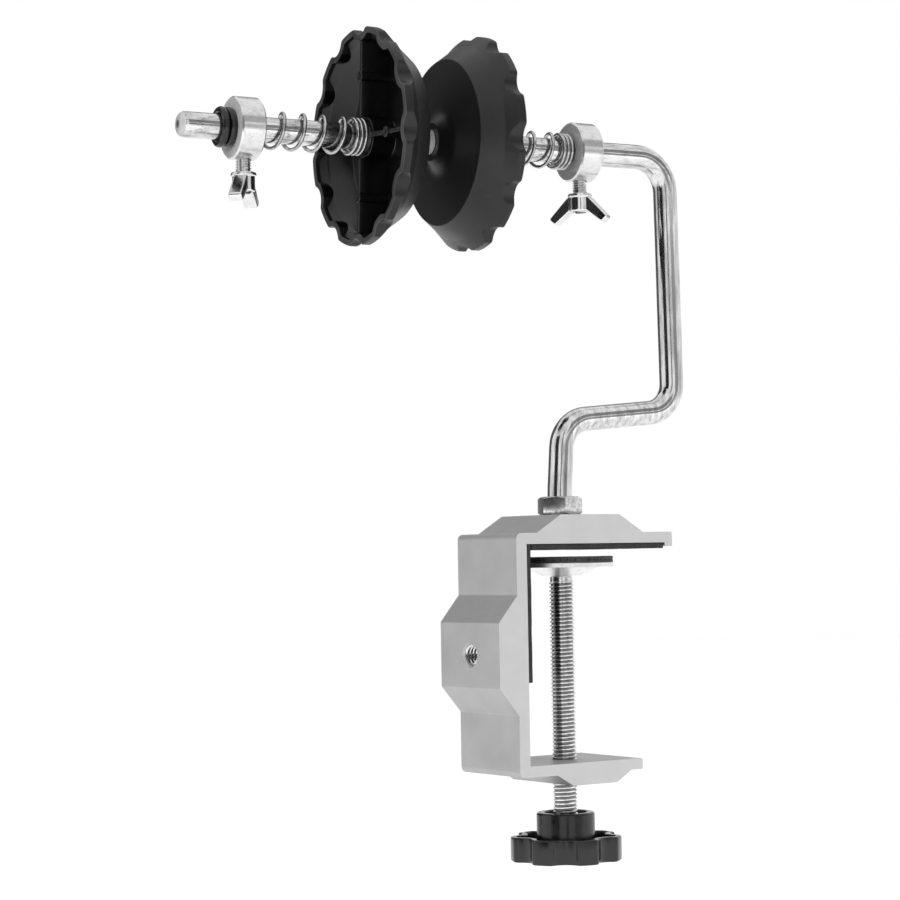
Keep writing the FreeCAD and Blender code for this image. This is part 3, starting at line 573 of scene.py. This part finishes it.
def knobPlastic():
    # harder, glossier black, with scuffs and small pits
    material, tree, shader, coords = newMaterial("knobPlastic")
    vector = addMapping(tree, coords)
    clouds = addNoise(tree, vector, 4, 4, 0.6)
    scuffs = addNoise(tree, addMapping(tree, coords, scale=(1, 1, 3)), 0.9, 5, 0.7)
    base = addRamp(tree, clouds, [(0.3, 0.004), (0.7, 0.009)])
    scuffMask = addRamp(tree, scuffs, [(0.66, 0.0), (0.76, 0.7)])
    feed(shader, "Base Color", addMix(tree, scuffMask, base, (0.06, 0.06, 0.06)))
    feed(shader, "Roughness", addRamp(tree, clouds, [(0.35, 0.16), (0.75, 0.30)]))
    pits = addNoise(tree, vector, 0.5, 3, 0.6)
    addBump(tree, shader, pits, 0.22, 0.04)
    feed(shader, "IOR", 1.52)
    return material


def linerRubber():
    # matt sheet with a pressed grain and pale dust in it
    material, tree, shader, coords = newMaterial("linerRubber")
    vector = addMapping(tree, coords)
    clouds = addNoise(tree, vector, 1.4, 4, 0.7)
    feed(shader, "Base Color", addRamp(tree, clouds, [(0.3, 0.010), (0.75, 0.035)]))
    grain = tree.nodes.new("ShaderNodeTexVoronoi")
    feed(grain, "Scale", 1 / (0.7 * mm))
    feed(grain, "Vector", vector)
    both = addMix(tree, 0.5, clouds, grain.outputs["Distance"])
    addBump(tree, shader, both, 0.6, 0.12)
    feed(shader, "Roughness", 0.72)
    return material


def padRubber():
    # the same sheet, with a row of near-black dots painted round the middle of its edge, a painted shadow
    material, tree, shader, coords = newMaterial("padRubber")
    vector = addMapping(tree, coords)
    low, high = heights("pressure_pad")
    clouds = addNoise(tree, vector, 1.6, 4, 0.7)
    sheet = addRamp(tree, clouds, [(0.3, 0.020), (0.75, 0.050)])
    # the dots are painted near black, a painted shadow
    shadowDotsAt = addMapping(tree, coords, scale=(1, 1, 30))
    shadowDots = addRamp(tree, addNoise(tree, shadowDotsAt, 0.9, 1, 0.3), [(0.5, 0.0), (0.56, 1.0)])
    place = addSplit(tree, coords.outputs["Object"])
    up = addMaths(tree, "SUBTRACT", place[2], (low + high) / 2 * mm)
    off = addMaths(tree, "DIVIDE", addMaths(tree, "ABSOLUTE", up), (high - low) * mm)
    band = addRamp(tree, off, [(0.13, 1.0), (0.2, 0.0)])
    mask = addMaths(tree, "MULTIPLY", shadowDots, band)
    feed(shader, "Base Color", addMix(tree, mask, sheet, (0.002, 0.002, 0.002)))
    sunk = addMaths(tree, "SUBTRACT", clouds, mask)
    addBump(tree, shader, sunk, 0.6, 0.15)
    feed(shader, "Roughness", 0.66)
    return material


def ringRubber():
    material, tree, shader, coords = newMaterial("ringRubber")
    vector = addMapping(tree, coords)
    clouds = addNoise(tree, vector, 1.5, 4, 0.6)
    feed(shader, "Base Color", addRamp(tree, clouds, [(0.3, 0.003), (0.7, 0.007)]))
    feed(shader, "Roughness", addRamp(tree, clouds, [(0.3, 0.08), (0.7, 0.18)]))
    addBump(tree, shader, clouds, 0.12, 0.03)
    return material


finishes = {
    "frame": satinAluminium(),
    "chrome": chromePlate(),
    "collar": machinedNickel("machinedNickel", True, 0.74, 0.17, 0.05),
    "disc": machinedNickel("stampedSteel", False, 0.84, 0.30, 0.02),
    "casting": machinedNickel("castNickel", False, 0.76, 0.13),
    "zinc": zincThread("zincPlate", 0.55, 0.78, 2.0),
    # this finish has its thread's grooves darker than the crests
    "thread": zincThread("darkGroovedThread", 0.58, 0.82, 2.0, 4.0),
    "nut": zincThread("zincNut", 0.45, 0.74, 1.0),
    "spring": springWire(),
    "cone": conePlastic(),
    "knob": knobPlastic(),
    "liner": linerRubber(),
    "pad": padRubber(),
    "ring": ringRubber(),
}
cadFinishes = {
    "clamp_frame": "frame", "pressure_disc": "disc", "arm_rod": "chrome", "lock_nut": "nut",
    "left_collar": "collar", "right_collar": "collar", "clamp_screw": "zinc",
    "left_wing_stud": "zinc", "right_wing_stud": "zinc", "left_wing_head": "casting",
    "right_wing_head": "casting", "left_spring": "spring", "right_spring": "spring",
    "left_cone": "cone", "right_cone": "cone", "knob": "knob", "jaw_liner": "liner", "web_liner": "liner",
    "pressure_pad": "pad", "inner_o_ring": "ring", "outer_o_ring": "ring",
}
for node, finish in cadFinishes.items():
    frame["nodes"][node].data.materials.clear()
    frame["nodes"][node].data.materials.append(finishes[finish])
print("finishes made:", len(finishes))


# the clamp screw, with its thread

clampScrew = {"radius": 4.0, "pitch": 1.25, "steps": 48, "neck": 2.7, "rivet": 4.2, "rivetDepth": 1.4,
              "across": 13.0, "head": 5.3, "chamfer": 0.35, "neckLength": 1.6, "sunk": 0.5, "clear": 0.1}


def makeClampScrew():
    low, high = heights("clamp_screw")
    headTop = low + clampScrew["head"]
    shankTop = heights("pressure_disc")[0] - clampScrew["clear"]
    threadTop = shankTop - clampScrew["neckLength"]
    piece = thread("clampScrewThread", dict(clampScrew, length=threadTop - headTop))
    settle(piece, Matrix.Translation((0, 0, headTop * mm)))
    smoothByAngle(piece, 40)
    finishPiece(piece, "clampScrewThread", "screw_and_knob", "zinc_thread", finishes["thread"], "clamp_screw")
    plain = clampScrew["radius"] - clampScrew["chamfer"]
    foot = threadTop - clampScrew["sunk"]
    rivetFoot = high - clampScrew["rivetDepth"]
    neck = spinOutline("rivetedEnd", roundCorners([
        (foot, 0), (foot, plain), (shankTop, plain, 0.4), (shankTop, clampScrew["neck"]),
        (rivetFoot, clampScrew["neck"]), (rivetFoot, clampScrew["rivet"], 0.3),
        (high, clampScrew["rivet"], 0.8), (high, 0)]), 64, "Z")
    settle(neck, Matrix.Identity(4))
    smoothByAngle(neck)
    finishPiece(neck, "rivetedEnd", "screw_and_knob", "zinc_thread", finishes["zinc"])
    clearSelection()
    bpy.ops.mesh.primitive_cylinder_add(vertices=6, radius=clampScrew["across"] / math.sqrt(3) * mm,
                                        depth=clampScrew["head"] * mm,
                                        location=(0, 0, (low + clampScrew["head"] / 2) * mm),
                                        rotation=(0, 0, math.radians(30)))
    head = bpy.context.active_object
    applyModifier(head, "BEVEL", width=clampScrew["chamfer"] * mm, segments=3)
    settle(head, Matrix.Identity(4))
    smoothByAngle(head)
    finishPiece(head, "clampScrewHead", "screw_and_knob", "zinc_thread", finishes["zinc"])


makeClampScrew()
print("clamp screw made")


# the lock nut, its corners turned down at the top and bottom

nut = {"bore": 4.08, "inset": 0.35, "slope": 30.0, "chamfer": 0.7, "edge": 0.22, "past": 0.01, "steps": 96}


def makeLockNut():
    low, high = heights("lock_nut")
    clearSelection()
    vertices = frame["nodes"]["lock_nut"].data.vertices
    widest = max((Vector(vertex.co.xy) for vertex in vertices), key=lambda place: place.length)
    bpy.ops.mesh.primitive_cylinder_add(vertices=6, radius=widest.length, depth=(high - low) * mm,
                                        location=(0, 0, (low + high) / 2 * mm),
                                        rotation=(0, 0, math.atan2(widest.y, widest.x) + math.pi / 2))
    piece = bpy.context.active_object
    corner = widest.length / mm
    flat = corner * math.sqrt(3) / 2
    start = flat - nut["inset"]
    drop = (corner - flat + nut["inset"]) * math.tan(math.radians(nut["slope"]))
    turned = spinOutline("nutTurning", [
        (low - nut["past"], nut["bore"]), (low - nut["past"], start), (low + drop, corner),
        (high - drop, corner), (high + nut["past"], start),
        (high + nut["past"], nut["bore"] + nut["chamfer"]), (high - nut["chamfer"], nut["bore"])],
        nut["steps"], "Z")
    applyModifier(piece, "BOOLEAN", operation="INTERSECT", object=turned, solver="EXACT")
    bpy.data.objects.remove(turned)
    softenEdges(piece, nut["edge"], 3, 20)
    settle(piece, Matrix.Identity(4))
    smoothByAngle(piece, 30)
    finishPiece(piece, "lockNut", "nut", "zinc_thread", finishes["nut"], "lock_nut")


makeLockNut()
print("lock nut made")


# the thread cut in the web's side hole

sideThread = {"radius": 3.34, "pitch": 1.25, "steps": 40, "wall": 0.1, "length": 10.2, "start": -36.1,
              "height": -32.75}


def makeSideThread():
    sleeve = thread("sideThread", sideThread)
    settle(sleeve, Matrix.Translation((sideThread["start"] * mm, 0, sideThread["height"] * mm))
           @ Matrix.Rotation(math.pi / 2, 4, "Y"))
    smoothByAngle(sleeve, 40)
    finishPiece(sleeve, "sideThread", "clamp", "frame_aluminium", finishes["zinc"])


makeSideThread()
print("side thread made")


# the springs: open coils, one closing coil, then close coils, as one wire

spring = {"wire": 1.2, "radius": 5.5, "gap": 0.3, "start": 26.0, "open": 4.0, "closing": 1.0, "closed": 2.5,
          "closedPitch": 1.42, "length": 37.1, "perTurn": 40, "travel": 20.0}


def springPlace(turn, length):
    opened = spring["open"] + spring["closing"] / 2
    openPitch = (length - (spring["closed"] + spring["closing"] / 2) * spring["closedPitch"]) / opened
    fall = openPitch - spring["closedPitch"]
    closing = min(max(turn - spring["open"], 0), spring["closing"])
    along = openPitch * (min(turn, spring["open"]) + closing) - fall * closing ** 2 / (2 * spring["closing"])
    along += spring["closedPitch"] * max(turn - spring["open"] - spring["closing"], 0)
    angle = math.radians(spring["start"]) + 2 * math.pi * turn
    return Vector((along, -spring["radius"] * math.cos(angle), spring["radius"] * math.sin(angle))) * mm


def makeSprings():
    length = spring["length"] - 2 * spring["gap"] - spring["wire"]
    turns = spring["open"] + spring["closing"] + spring["closed"]
    steps = round(turns * spring["perTurn"])
    places = [springPlace(turns * k / steps, length) for k in range(steps + 1)]
    # the wire goes on straight by its own width at both ends
    first = places[0] + (places[0] - places[1]).normalized() * spring["wire"] * mm
    last = places[-1] + (places[-1] - places[-2]).normalized() * spring["wire"] * mm
    wire = drawPath("leftSpring", [first] + places + [last])
    setMode("OBJECT")
    selectOnly(wire)
    bpy.ops.object.convert(target="CURVE")
    wire.data.bevel_depth = spring["wire"] / 2 * mm
    wire.data.bevel_resolution = 4
    wire.data.use_fill_caps = True
    bpy.ops.object.convert(target="MESH")
    setMode("EDIT")
    mergeAndTurnOut()
    setMode("OBJECT")
    smoothByAngle(wire, 50)
    other = copyPiece(wire, "rightSpring")
    seat = spring["gap"] + spring["wire"] / 2
    left = ("left", wire, alongAxle("left_collar")[1], 0)
    right = ("right", other, alongAxle("right_collar")[0], spring["length"])
    for side, piece, face, back in (left, right):
        settle(piece, onAxle(face - back + seat))
        finishPiece(piece, side + "Spring", side + "_collar_slide", "spring_steel", finishes["spring"],
                    side + "_spring")
        anchor = onAxle(face).translation
        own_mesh(piece)


makeSprings()
print("springs made")


# the cones: a turned shell with a notched rim, a tube, four ribs and their bosses

coneRim = {"rim": 34.4, "centre": 37.05, "notch": 5.0, "shoulder": 1.3, "count": 12, "first": 0.0}
coneRimInside = dict(coneRim, rim=32.5, notch=6.9, shoulder=0.65)
cone = {"bore": 4.05, "tip": 6.0, "tipBack": 1.9, "hub": 10.0, "reach": 5.0, "faceBack": 5.7, "face": 26.5,
        "bandDepth": 12.1, "band": 31.1, "rimDepth": 15.4, "depth": 18.0, "wall": 1.9, "inBand": 30.15,
        "inBandDepth": 14.0, "inFace": 25.55, "inRimDepth": 16.35, "tube": 6.5, "tubeDepth": 15.7,
        "ribDepth": 17.3, "rib": 1.5, "ribStart": 6.45, "ribSunk": 0.3, "ribPast": 0.7, "boss": 1.7,
        "bossAt": 19.0, "bossTop": 0.4, "bossHole": 0.1, "spun": {"left": -4.2, "right": 4.8}, "steps": 360}


def notchCone(piece):
    # draws the rim in to its notches, the slopes on both sides of the wall with it
    for vertex in piece.data.vertices:
        along = vertex.co.x / mm
        radius = math.hypot(vertex.co.y, vertex.co.z) / mm
        angle = math.atan2(vertex.co.y, vertex.co.z)
        if radius <= cone["inBand"]:
            continue
        outer = notchedRadius(angle, coneRim)
        inner = notchedRadius(angle, coneRimInside)
        rear = cone["inRimDepth"]
        riseOut = (coneRim["rim"] - cone["band"]) / (cone["rimDepth"] - cone["bandDepth"])
        riseIn = (coneRimInside["rim"] - cone["inBand"]) / (rear - cone["inBandDepth"])
        slopeOut = cone["band"] + (along - cone["bandDepth"]) * riseOut
        slopeIn = cone["inBand"] + (along - cone["inBandDepth"]) * riseIn
        if along > rear + 0.01:
            share = (radius - coneRimInside["rim"]) / (coneRim["rim"] - coneRimInside["rim"])
            place = inner + share * (outer - inner)
        elif radius > (slopeOut + slopeIn) / 2 or along < cone["inBandDepth"]:
            if radius <= cone["band"]:
                continue
            share = (outer - cone["band"]) / (coneRim["rim"] - cone["band"])
            place = cone["band"] + (radius - cone["band"]) * share
            slopeEnd = cone["bandDepth"] + (cone["rimDepth"] - cone["bandDepth"]) * share
            if along < cone["rimDepth"]:
                along = cone["bandDepth"] + (along - cone["bandDepth"]) * share
            else:
                along = slopeEnd + (along - cone["rimDepth"]) * (cone["depth"] - slopeEnd) / (
                    cone["depth"] - cone["rimDepth"])
        else:
            share = (inner - cone["inBand"]) / (coneRimInside["rim"] - cone["inBand"])
            place = cone["inBand"] + (radius - cone["inBand"]) * share
            along = cone["inBandDepth"] + (along - cone["inBandDepth"]) * share
        vertex.co = Vector((along, place * math.sin(angle), place * math.cos(angle))) * mm


def makeConeShell():
    # the outline runs from the hub's tip over the face to the rear edge, and back inside to the tube
    faceInside = cone["faceBack"] + cone["wall"]
    return spinOutline("rightCone", roundCorners([
        (cone["tipBack"], cone["bore"], 0.15), (cone["tipBack"], cone["tip"], 0.8),
        (cone["reach"], cone["hub"], 6.5), (cone["faceBack"], cone["face"], 0.45),
        (cone["bandDepth"], cone["band"], 0.2),
        (cone["rimDepth"], coneRim["rim"], 0.4), (cone["depth"], coneRim["rim"], 0.35),
        (cone["depth"], coneRimInside["rim"], 0.3), (cone["inRimDepth"], coneRimInside["rim"]),
        (cone["inBandDepth"], cone["inBand"], 0.2), (faceInside, cone["inFace"], 0.6),
        (faceInside, cone["tube"], 0.5), (cone["tubeDepth"], cone["tube"], 0.3),
        (cone["tubeDepth"], cone["bore"], 0.15)], 5), cone["steps"], "X")


def makeConeRib():
    low = cone["faceBack"] + cone["wall"] - cone["ribSunk"]
    outer = cone["inBand"] + cone["ribPast"]
    rib = extrudeOutline("coneRib", [
        (low, cone["ribStart"]), (cone["ribDepth"], cone["ribStart"]), (cone["ribDepth"], outer),
        (cone["inBandDepth"], outer), (low, cone["inFace"] + cone["ribSunk"])], cone["rib"])
    softenEdges(rib, 0.2)
    top = cone["ribDepth"] + cone["bossTop"]
    hole = cone["ribDepth"] + cone["bossHole"]
    boss = spinOutline("ribBoss", roundCorners([
        (low, 0), (low, cone["boss"]), (top, cone["boss"], 0.3), (top, cone["boss"] * 0.5),
        (hole, cone["boss"] * 0.42), (hole, 0)]), 32, "X")
    settle(boss, Matrix.Translation((0, 0, cone["bossAt"] * mm)))
    return joinPieces([rib, boss])


def makeCones():
    shell = makeConeShell()
    notchCone(shell)
    rib = makeConeRib()
    ribs = [rib]
    for k in range(1, 4):
        ribs.append(settle(copyPiece(rib, "coneRib"), Matrix.Rotation(math.pi / 2 * k, 4, "X")))
    right = joinPieces([shell] + ribs)
    smoothByAngle(right, 32)
    left = copyPiece(right, "leftCone")
    spun = {side: Matrix.Rotation(math.radians(cone["spun"][side]), 4, "X") for side in cone["spun"]}
    settle(right, onAxle(alongAxle("right_cone")[0]) @ spun["right"])
    settle(left, onAxle(alongAxle("left_cone")[1], turn=math.pi) @ spun["left"])
    for side, piece in (("left", left), ("right", right)):
        finishPiece(piece, side + "Cone", side + "_cone_wheel", "cone_plastic", finishes["cone"],
                    side + "_cone")


makeCones()
print("cones made")


# the wing screws: a threaded stud and a cast head with two ears

wing = {"hub": 3.5, "flange": 4.0, "flangeHeight": 1.2, "foot": 111.0, "bore": 2.45, "earWidth": 4.2,
        "voxel": 0.13, "turn": {"left": 51.0, "right": -52.0}}
stud = {"radius": 2.4, "pitch": 0.8, "steps": 36}


def makeWingHead(name, height):
    # heights run down from the top of the head, so that the same form serves both screws
    root = -wing["flangeHeight"]
    hub = spinOutline(name, roundCorners([
        (-height, wing["bore"]), (-height, wing["hub"], 0.5), (root, wing["hub"], 0.25),
        (root, wing["flange"], 0.35), (0, wing["flange"], 0.6), (0, wing["bore"], 0.2)]), 72, "Z")
    ear = roundCorners([
        (2.8, root + 0.2), (3.9, root - 0.2, 0.8), (10.35, root - 6.95, 0.9), (8.2, root - 8.9, 0.9),
        (2.8, root - 4.6)], 5)
    ears = []
    for turn in (0, math.pi):
        piece = extrudeOutline(name + "Ear", ear, wing["earWidth"])
        softenEdges(piece, 0.45, 3)
        ears.append(settle(piece, Matrix.Rotation(turn, 4, "Z")))
    head = joinPieces([hub] + ears)
    applyModifier(head, "REMESH", mode="VOXEL", voxel_size=wing["voxel"] * mm)
    applyModifier(head, "SMOOTH", factor=0.5, iterations=5)
    smoothByAngle(head, 60)
    return head


def makeWingScrews():
    high = heights("right_wing_head")[1]
    studLow, studHigh = heights("right_wing_stud")
    heads = {"right": makeWingHead("rightWingHead", high - wing["foot"])}
    heads["left"] = copyPiece(heads["right"], "leftWingHead")
    studs = {"right": thread("rightWingStud", dict(stud, length=studHigh - studLow))}
    smoothByAngle(studs["right"], 40)
    studs["left"] = copyPiece(studs["right"], "leftWingStud")
    for side in ("left", "right"):
        station = sum(alongAxle(side + "_collar")) / 2
        turn = math.radians(wing["turn"][side])
        settle(heads[side], onAxle(station, high, turn))
        settle(studs[side], onAxle(station, studLow, turn))
        finishPiece(heads[side], side + "WingHead", side + "_wing", "nickel_steel", finishes["casting"],
                    side + "_wing_head")
        finishPiece(studs[side], side + "WingStud", side + "_stud", "zinc_thread", finishes["zinc"],
                    side + "_wing_stud")


makeWingScrews()
print("wing screws made")


# the knob: a hub in a sunk floor, inside a lobed rim

knobRim = {"rim": 18.0, "centre": 20.5, "notch": 5.5, "shoulder": 1.4, "count": 7, "first": math.pi / 7}
knobRimInside = dict(knobRim, rim=16.0, notch=7.5, shoulder=0.4)
knob = {"hub": 9.45, "counterbore": 6.9, "sunk": 3.0, "shank": 4.05, "hubHeight": 7.5, "floor": 3.0,
        "pocket": 6.55, "pocketDepth": 5.6, "rimHeight": 8.0, "rimStart": 14.0, "rimMiddle": 16.9,
        "steps": 504}


def lobeKnob(piece, low, corner):
    # draws the rim in to its notches, and the round pocket in to its six flats
    for vertex in piece.data.vertices:
        radius = math.hypot(vertex.co.x, vertex.co.y) / mm
        angle = math.atan2(vertex.co.y, vertex.co.x)
        inPocket = vertex.co.z / mm < low + knob["pocketDepth"] + 0.01
        if radius > knob["rimMiddle"]:
            place = notchedRadius(angle, knobRim) - (knobRim["rim"] - radius)
        elif radius > knob["rimStart"]:
            place = notchedRadius(angle, knobRimInside) - (knobRimInside["rim"] - radius)
        elif inPocket and corner - 0.01 < radius < corner + 0.3:
            place = knob["pocket"] / math.cos(angle % (math.pi / 3) - math.pi / 6) + radius - corner
        else:
            continue
        vertex.co.x = place * math.cos(angle) * mm
        vertex.co.y = place * math.sin(angle) * mm


def makeKnob():
    top = heights("knob")[1]
    rimTop = top - knob["hubHeight"]
    low = rimTop - knob["rimHeight"]
    corner = knob["pocket"] / math.cos(math.pi / 6)
    piece = spinOutline("lobedKnob", roundCorners([
        (top - knob["sunk"], knob["shank"]), (top - knob["sunk"], knob["counterbore"], 0.3),
        (top, knob["counterbore"], 0.5), (top, knob["hub"], 0.8), (low + knob["floor"], knob["hub"], 0.6),
        (low + knob["floor"], knobRimInside["rim"], 0.6), (rimTop, knobRimInside["rim"], 0.5),
        (rimTop, knobRim["rim"], 0.7), (low, knobRim["rim"], 0.7), (low, corner, 0.15),
        (low + knob["pocketDepth"], corner), (low + knob["pocketDepth"], knob["shank"])], 5),
        knob["steps"], "Z")
    lobeKnob(piece, low, corner)
    settle(piece, Matrix.Identity(4))
    smoothByAngle(piece, 35)
    finishPiece(piece, "lobedKnob", "screw_and_knob", "knob_plastic", finishes["knob"], "knob")


makeKnob()
print("knob made")


# the rubber: two liners with hand-cut edges, the pad and two rings

rubber = {"edge": 0.35, "cuts": 30, "waver": 0.28, "wave": 0.006, "padWaver": 0.16, "padWave": 0.004}
pad = {"groove": 0.14, "shallow": 0.05, "grooveHalf": 0.15, "steps": 200}
ring = {"flash": 0.03, "corners": 28, "steps": 120}


def wavyEdges(piece, strength, size):
    texture = bpy.data.textures.new(piece.name + "Waver", "CLOUDS")
    texture.noise_scale = size
    texture.noise_depth = 2
    applyModifier(piece, "DISPLACE", texture=texture, texture_coords="LOCAL", strength=strength * mm,
                  mid_level=1.0)
    bpy.data.textures.remove(texture)


def makeLiner(name, node, body):
    low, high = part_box(node)
    clearSelection()
    bpy.ops.mesh.primitive_cube_add(size=1, location=(low + high) / 2, scale=high - low)
    piece = bpy.context.active_object
    piece.name = name
    settle(piece, Matrix.Identity(4))
    softenEdges(piece, rubber["edge"], 2)
    selectOnly(piece)
    setMode("EDIT")
    bpy.ops.mesh.select_all(action="SELECT")
    bpy.ops.mesh.subdivide(number_cuts=rubber["cuts"])
    setMode("OBJECT")
    wavyEdges(piece, rubber["waver"], rubber["wave"])
    smoothByAngle(piece, 50)
    finishPiece(piece, name, body, "liner_rubber", finishes["liner"], node)


def makePad():
    low, high = heights("pressure_pad")
    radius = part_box("pressure_pad")[1].x / mm
    middle = (low + high) / 2
    piece = spinOutline("rubberPad", roundCorners([
        (low, 0), (low, radius * 0.5), (low, radius, 0.3),
        (middle - pad["grooveHalf"], radius - pad["shallow"]), (middle, radius - pad["groove"]),
        (middle + pad["grooveHalf"], radius - pad["shallow"]),
        (high, radius, 0.3), (high, radius * 0.5), (high, 0)]), pad["steps"], "Z")
    wavyEdges(piece, rubber["padWaver"], rubber["padWave"])
    settle(piece, Matrix.Identity(4))
    smoothByAngle(piece, 50)
    finishPiece(piece, "rubberPad", "pressure_foot", "liner_rubber", finishes["pad"], "pressure_pad")


def makeRing(name, node):
    # a round section with the moulding's thin flash line at its outside
    low, high = alongAxle(node)
    section = (high - low) / 2
    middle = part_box(node)[1].z / mm - axleHeight / mm - section
    points = []
    for k in range(ring["corners"]):
        angle = 2 * math.pi * k / ring["corners"]
        reach = section - ring["flash"] + (ring["flash"] if k == 0 else 0)
        points.append((reach * math.sin(angle), middle + reach * math.cos(angle)))
    piece = spinOutline(name, points, ring["steps"], "X")
    settle(piece, onAxle((low + high) / 2))
    smoothByAngle(piece, 40)
    finishPiece(piece, name, "left_collar_slide", "ring_rubber", finishes["ring"], node)


makeLiner("jawLiner", "jaw_liner", "clamp")
makeLiner("webLiner", "web_liner", "clamp")
makePad()
makeRing("innerRing", "inner_o_ring")
makeRing("outerRing", "outer_o_ring")
print("rubber made")


# the studio: pale floor, white surroundings, soft lamps, dark cards that only reflections see, and the camera

studio = {"floorSize": 6.0, "floorGrey": 0.82, "fill": 0.36, "glow": 0.69, "clear": 0.002, "middle": 0.03,
          "cardsAt": 2.0}
lamps = {
    "frontLamp": {"azimuth": -62, "elevation": 14, "distance": 1.6, "size": 1.1, "power": 11.5},
    "sideLamp": {"azimuth": -160, "elevation": 20, "distance": 1.6, "size": 0.9, "power": 11.5},
}
cards = {
    "leftCard": {"azimuth": -168, "elevation": 2, "width": 34, "height": 56, "grey": 0.03},
    "backCard": {"azimuth": 100, "elevation": 12, "width": 50, "height": 60, "grey": 0.12},
    "lensCard": {"azimuth": -120, "elevation": 0, "width": 8, "height": 60, "grey": 0.06},
    "brimCard": {"azimuth": -62, "elevation": 28, "width": 60, "height": 24, "grey": 0.30},
    "waistCard": {"azimuth": -75, "elevation": 3, "width": 34, "height": 14, "grey": 0.36},
    "farCard": {"azimuth": 60, "elevation": 34, "width": 40, "height": 30, "grey": 0.33},
}


def direction(azimuth, elevation):
    a, e = math.radians(azimuth), math.radians(elevation)
    return Vector((math.cos(a) * math.cos(e), math.sin(a) * math.cos(e), math.sin(e)))


def whiteForCamera(tree, plain, white):
    # camera, glossy and transmission rays see white, and the rest is lit plainly
    path = tree.nodes.new("ShaderNodeLightPath")
    first = addMaths(tree, "MAXIMUM", path.outputs["Is Camera Ray"], path.outputs["Is Glossy Ray"])
    seen = addMaths(tree, "MAXIMUM", first, path.outputs["Is Transmission Ray"])
    mix = tree.nodes.new("ShaderNodeMixShader")
    for socket, value in enumerate((seen, plain, white)):
        feed(mix, socket, value)
    return mix.outputs[0]


def makeWorld():
    world = bpy.data.worlds.new("studio")
    bpy.context.scene.world = world
    world.use_nodes = True
    tree = world.node_tree
    plain = tree.nodes["Background"]
    feed(plain, "Color", (1, 1, 1))
    feed(plain, "Strength", studio["fill"])
    white = tree.nodes.new("ShaderNodeBackground")
    feed(white, "Color", (1, 1, 1))
    shader = whiteForCamera(tree, plain.outputs[0], white.outputs[0])
    feed(tree.nodes["World Output"], "Surface", shader)


def makeFloor():
    # the floor lies below the lowest place that the knob is screwed down to
    lowest = cadBox[0][2] - joints["clamp_travel"]["range_m"][1] - studio["clear"]
    clearSelection()
    bpy.ops.mesh.primitive_plane_add(size=studio["floorSize"], location=(0, 0, lowest))
    floor = bpy.context.active_object
    floor.name = "paleFloor"
    material, tree, shader, coords = newMaterial("paleFloor")
    feed(shader, "Base Color", (studio["floorGrey"],) * 3)
    feed(shader, "Roughness", 0.9)
    feed(shader, "Specular IOR Level", 0)
    glow = tree.nodes.new("ShaderNodeEmission")
    feed(glow, "Strength", studio["glow"])
    lit = tree.nodes.new("ShaderNodeAddShader")
    feed(lit, 0, shader.outputs[0])
    feed(lit, 1, glow.outputs[0])
    surface = whiteForCamera(tree, shader.outputs[0], lit.outputs[0])
    feed(tree.nodes["Material Output"], "Surface", surface)
    floor.data.materials.append(material)


def makeLamp(name, make):
    data = bpy.data.lights.new(name, "AREA")
    data.shape = "SQUARE"
    data.size = make["size"]
    data.energy = make["power"]
    lamp = bpy.data.objects.new(name, data)
    bpy.context.scene.collection.objects.link(lamp)
    way = direction(make["azimuth"], make["elevation"])
    lamp.location = way * make["distance"] + Vector((0, 0, studio["middle"]))
    lamp.rotation_euler = way.to_track_quat("Z", "Y").to_euler()
    lamp.visible_glossy = False


def greyForReflections(card, name, grey):
    # a card that only glossy rays see, with a grey of its own
    card.name = name
    material, tree, shader, coords = newMaterial(name)
    glow = tree.nodes.new("ShaderNodeEmission")
    feed(glow, "Color", (grey,) * 3)
    feed(tree.nodes["Material Output"], "Surface", glow.outputs[0])
    card.data.materials.append(material)
    for kind in ("camera", "diffuse", "transmission", "volume_scatter", "shadow"):
        setattr(card, "visible_" + kind, False)


def makeCard(name, make):
    way = direction(make["azimuth"], make["elevation"])
    clearSelection()
    place = way * studio["cardsAt"] + Vector((0, 0, studio["middle"]))
    bpy.ops.mesh.primitive_plane_add(size=1, location=place, rotation=way.to_track_quat("Z", "Y").to_euler())
    card = bpy.context.active_object
    # width and height are the angles that the card covers
    halves = [math.tan(math.radians(make[side]) / 2) for side in ("width", "height")]
    card.scale = [2 * studio["cardsAt"] * half for half in halves] + [1]
    greyForReflections(card, name, make["grey"])


camera = {"place": (-0.48111475, -0.63015571, -0.00240441), "turn": (92.57241, 0.95948, -34.75799),
          "lens": 97.3857, "sensor": 36, "near": 0.01}


def makeCamera():
    data = bpy.data.cameras.new("photoCamera")
    data.lens = camera["lens"]
    data.sensor_width = camera["sensor"]
    data.clip_start = camera["near"]
    eye = bpy.data.objects.new("photoCamera", data)
    bpy.context.scene.collection.objects.link(eye)
    eye.location = camera["place"]
    eye.rotation_euler = [math.radians(angle) for angle in camera["turn"]]
    bpy.context.scene.camera = eye


makeWorld()
makeFloor()
for name, make in lamps.items():
    makeLamp(name, make)
for name, make in cards.items():
    makeCard(name, make)
makeCamera()
bpy.context.scene.view_settings.view_transform = "Standard"
print("studio made")
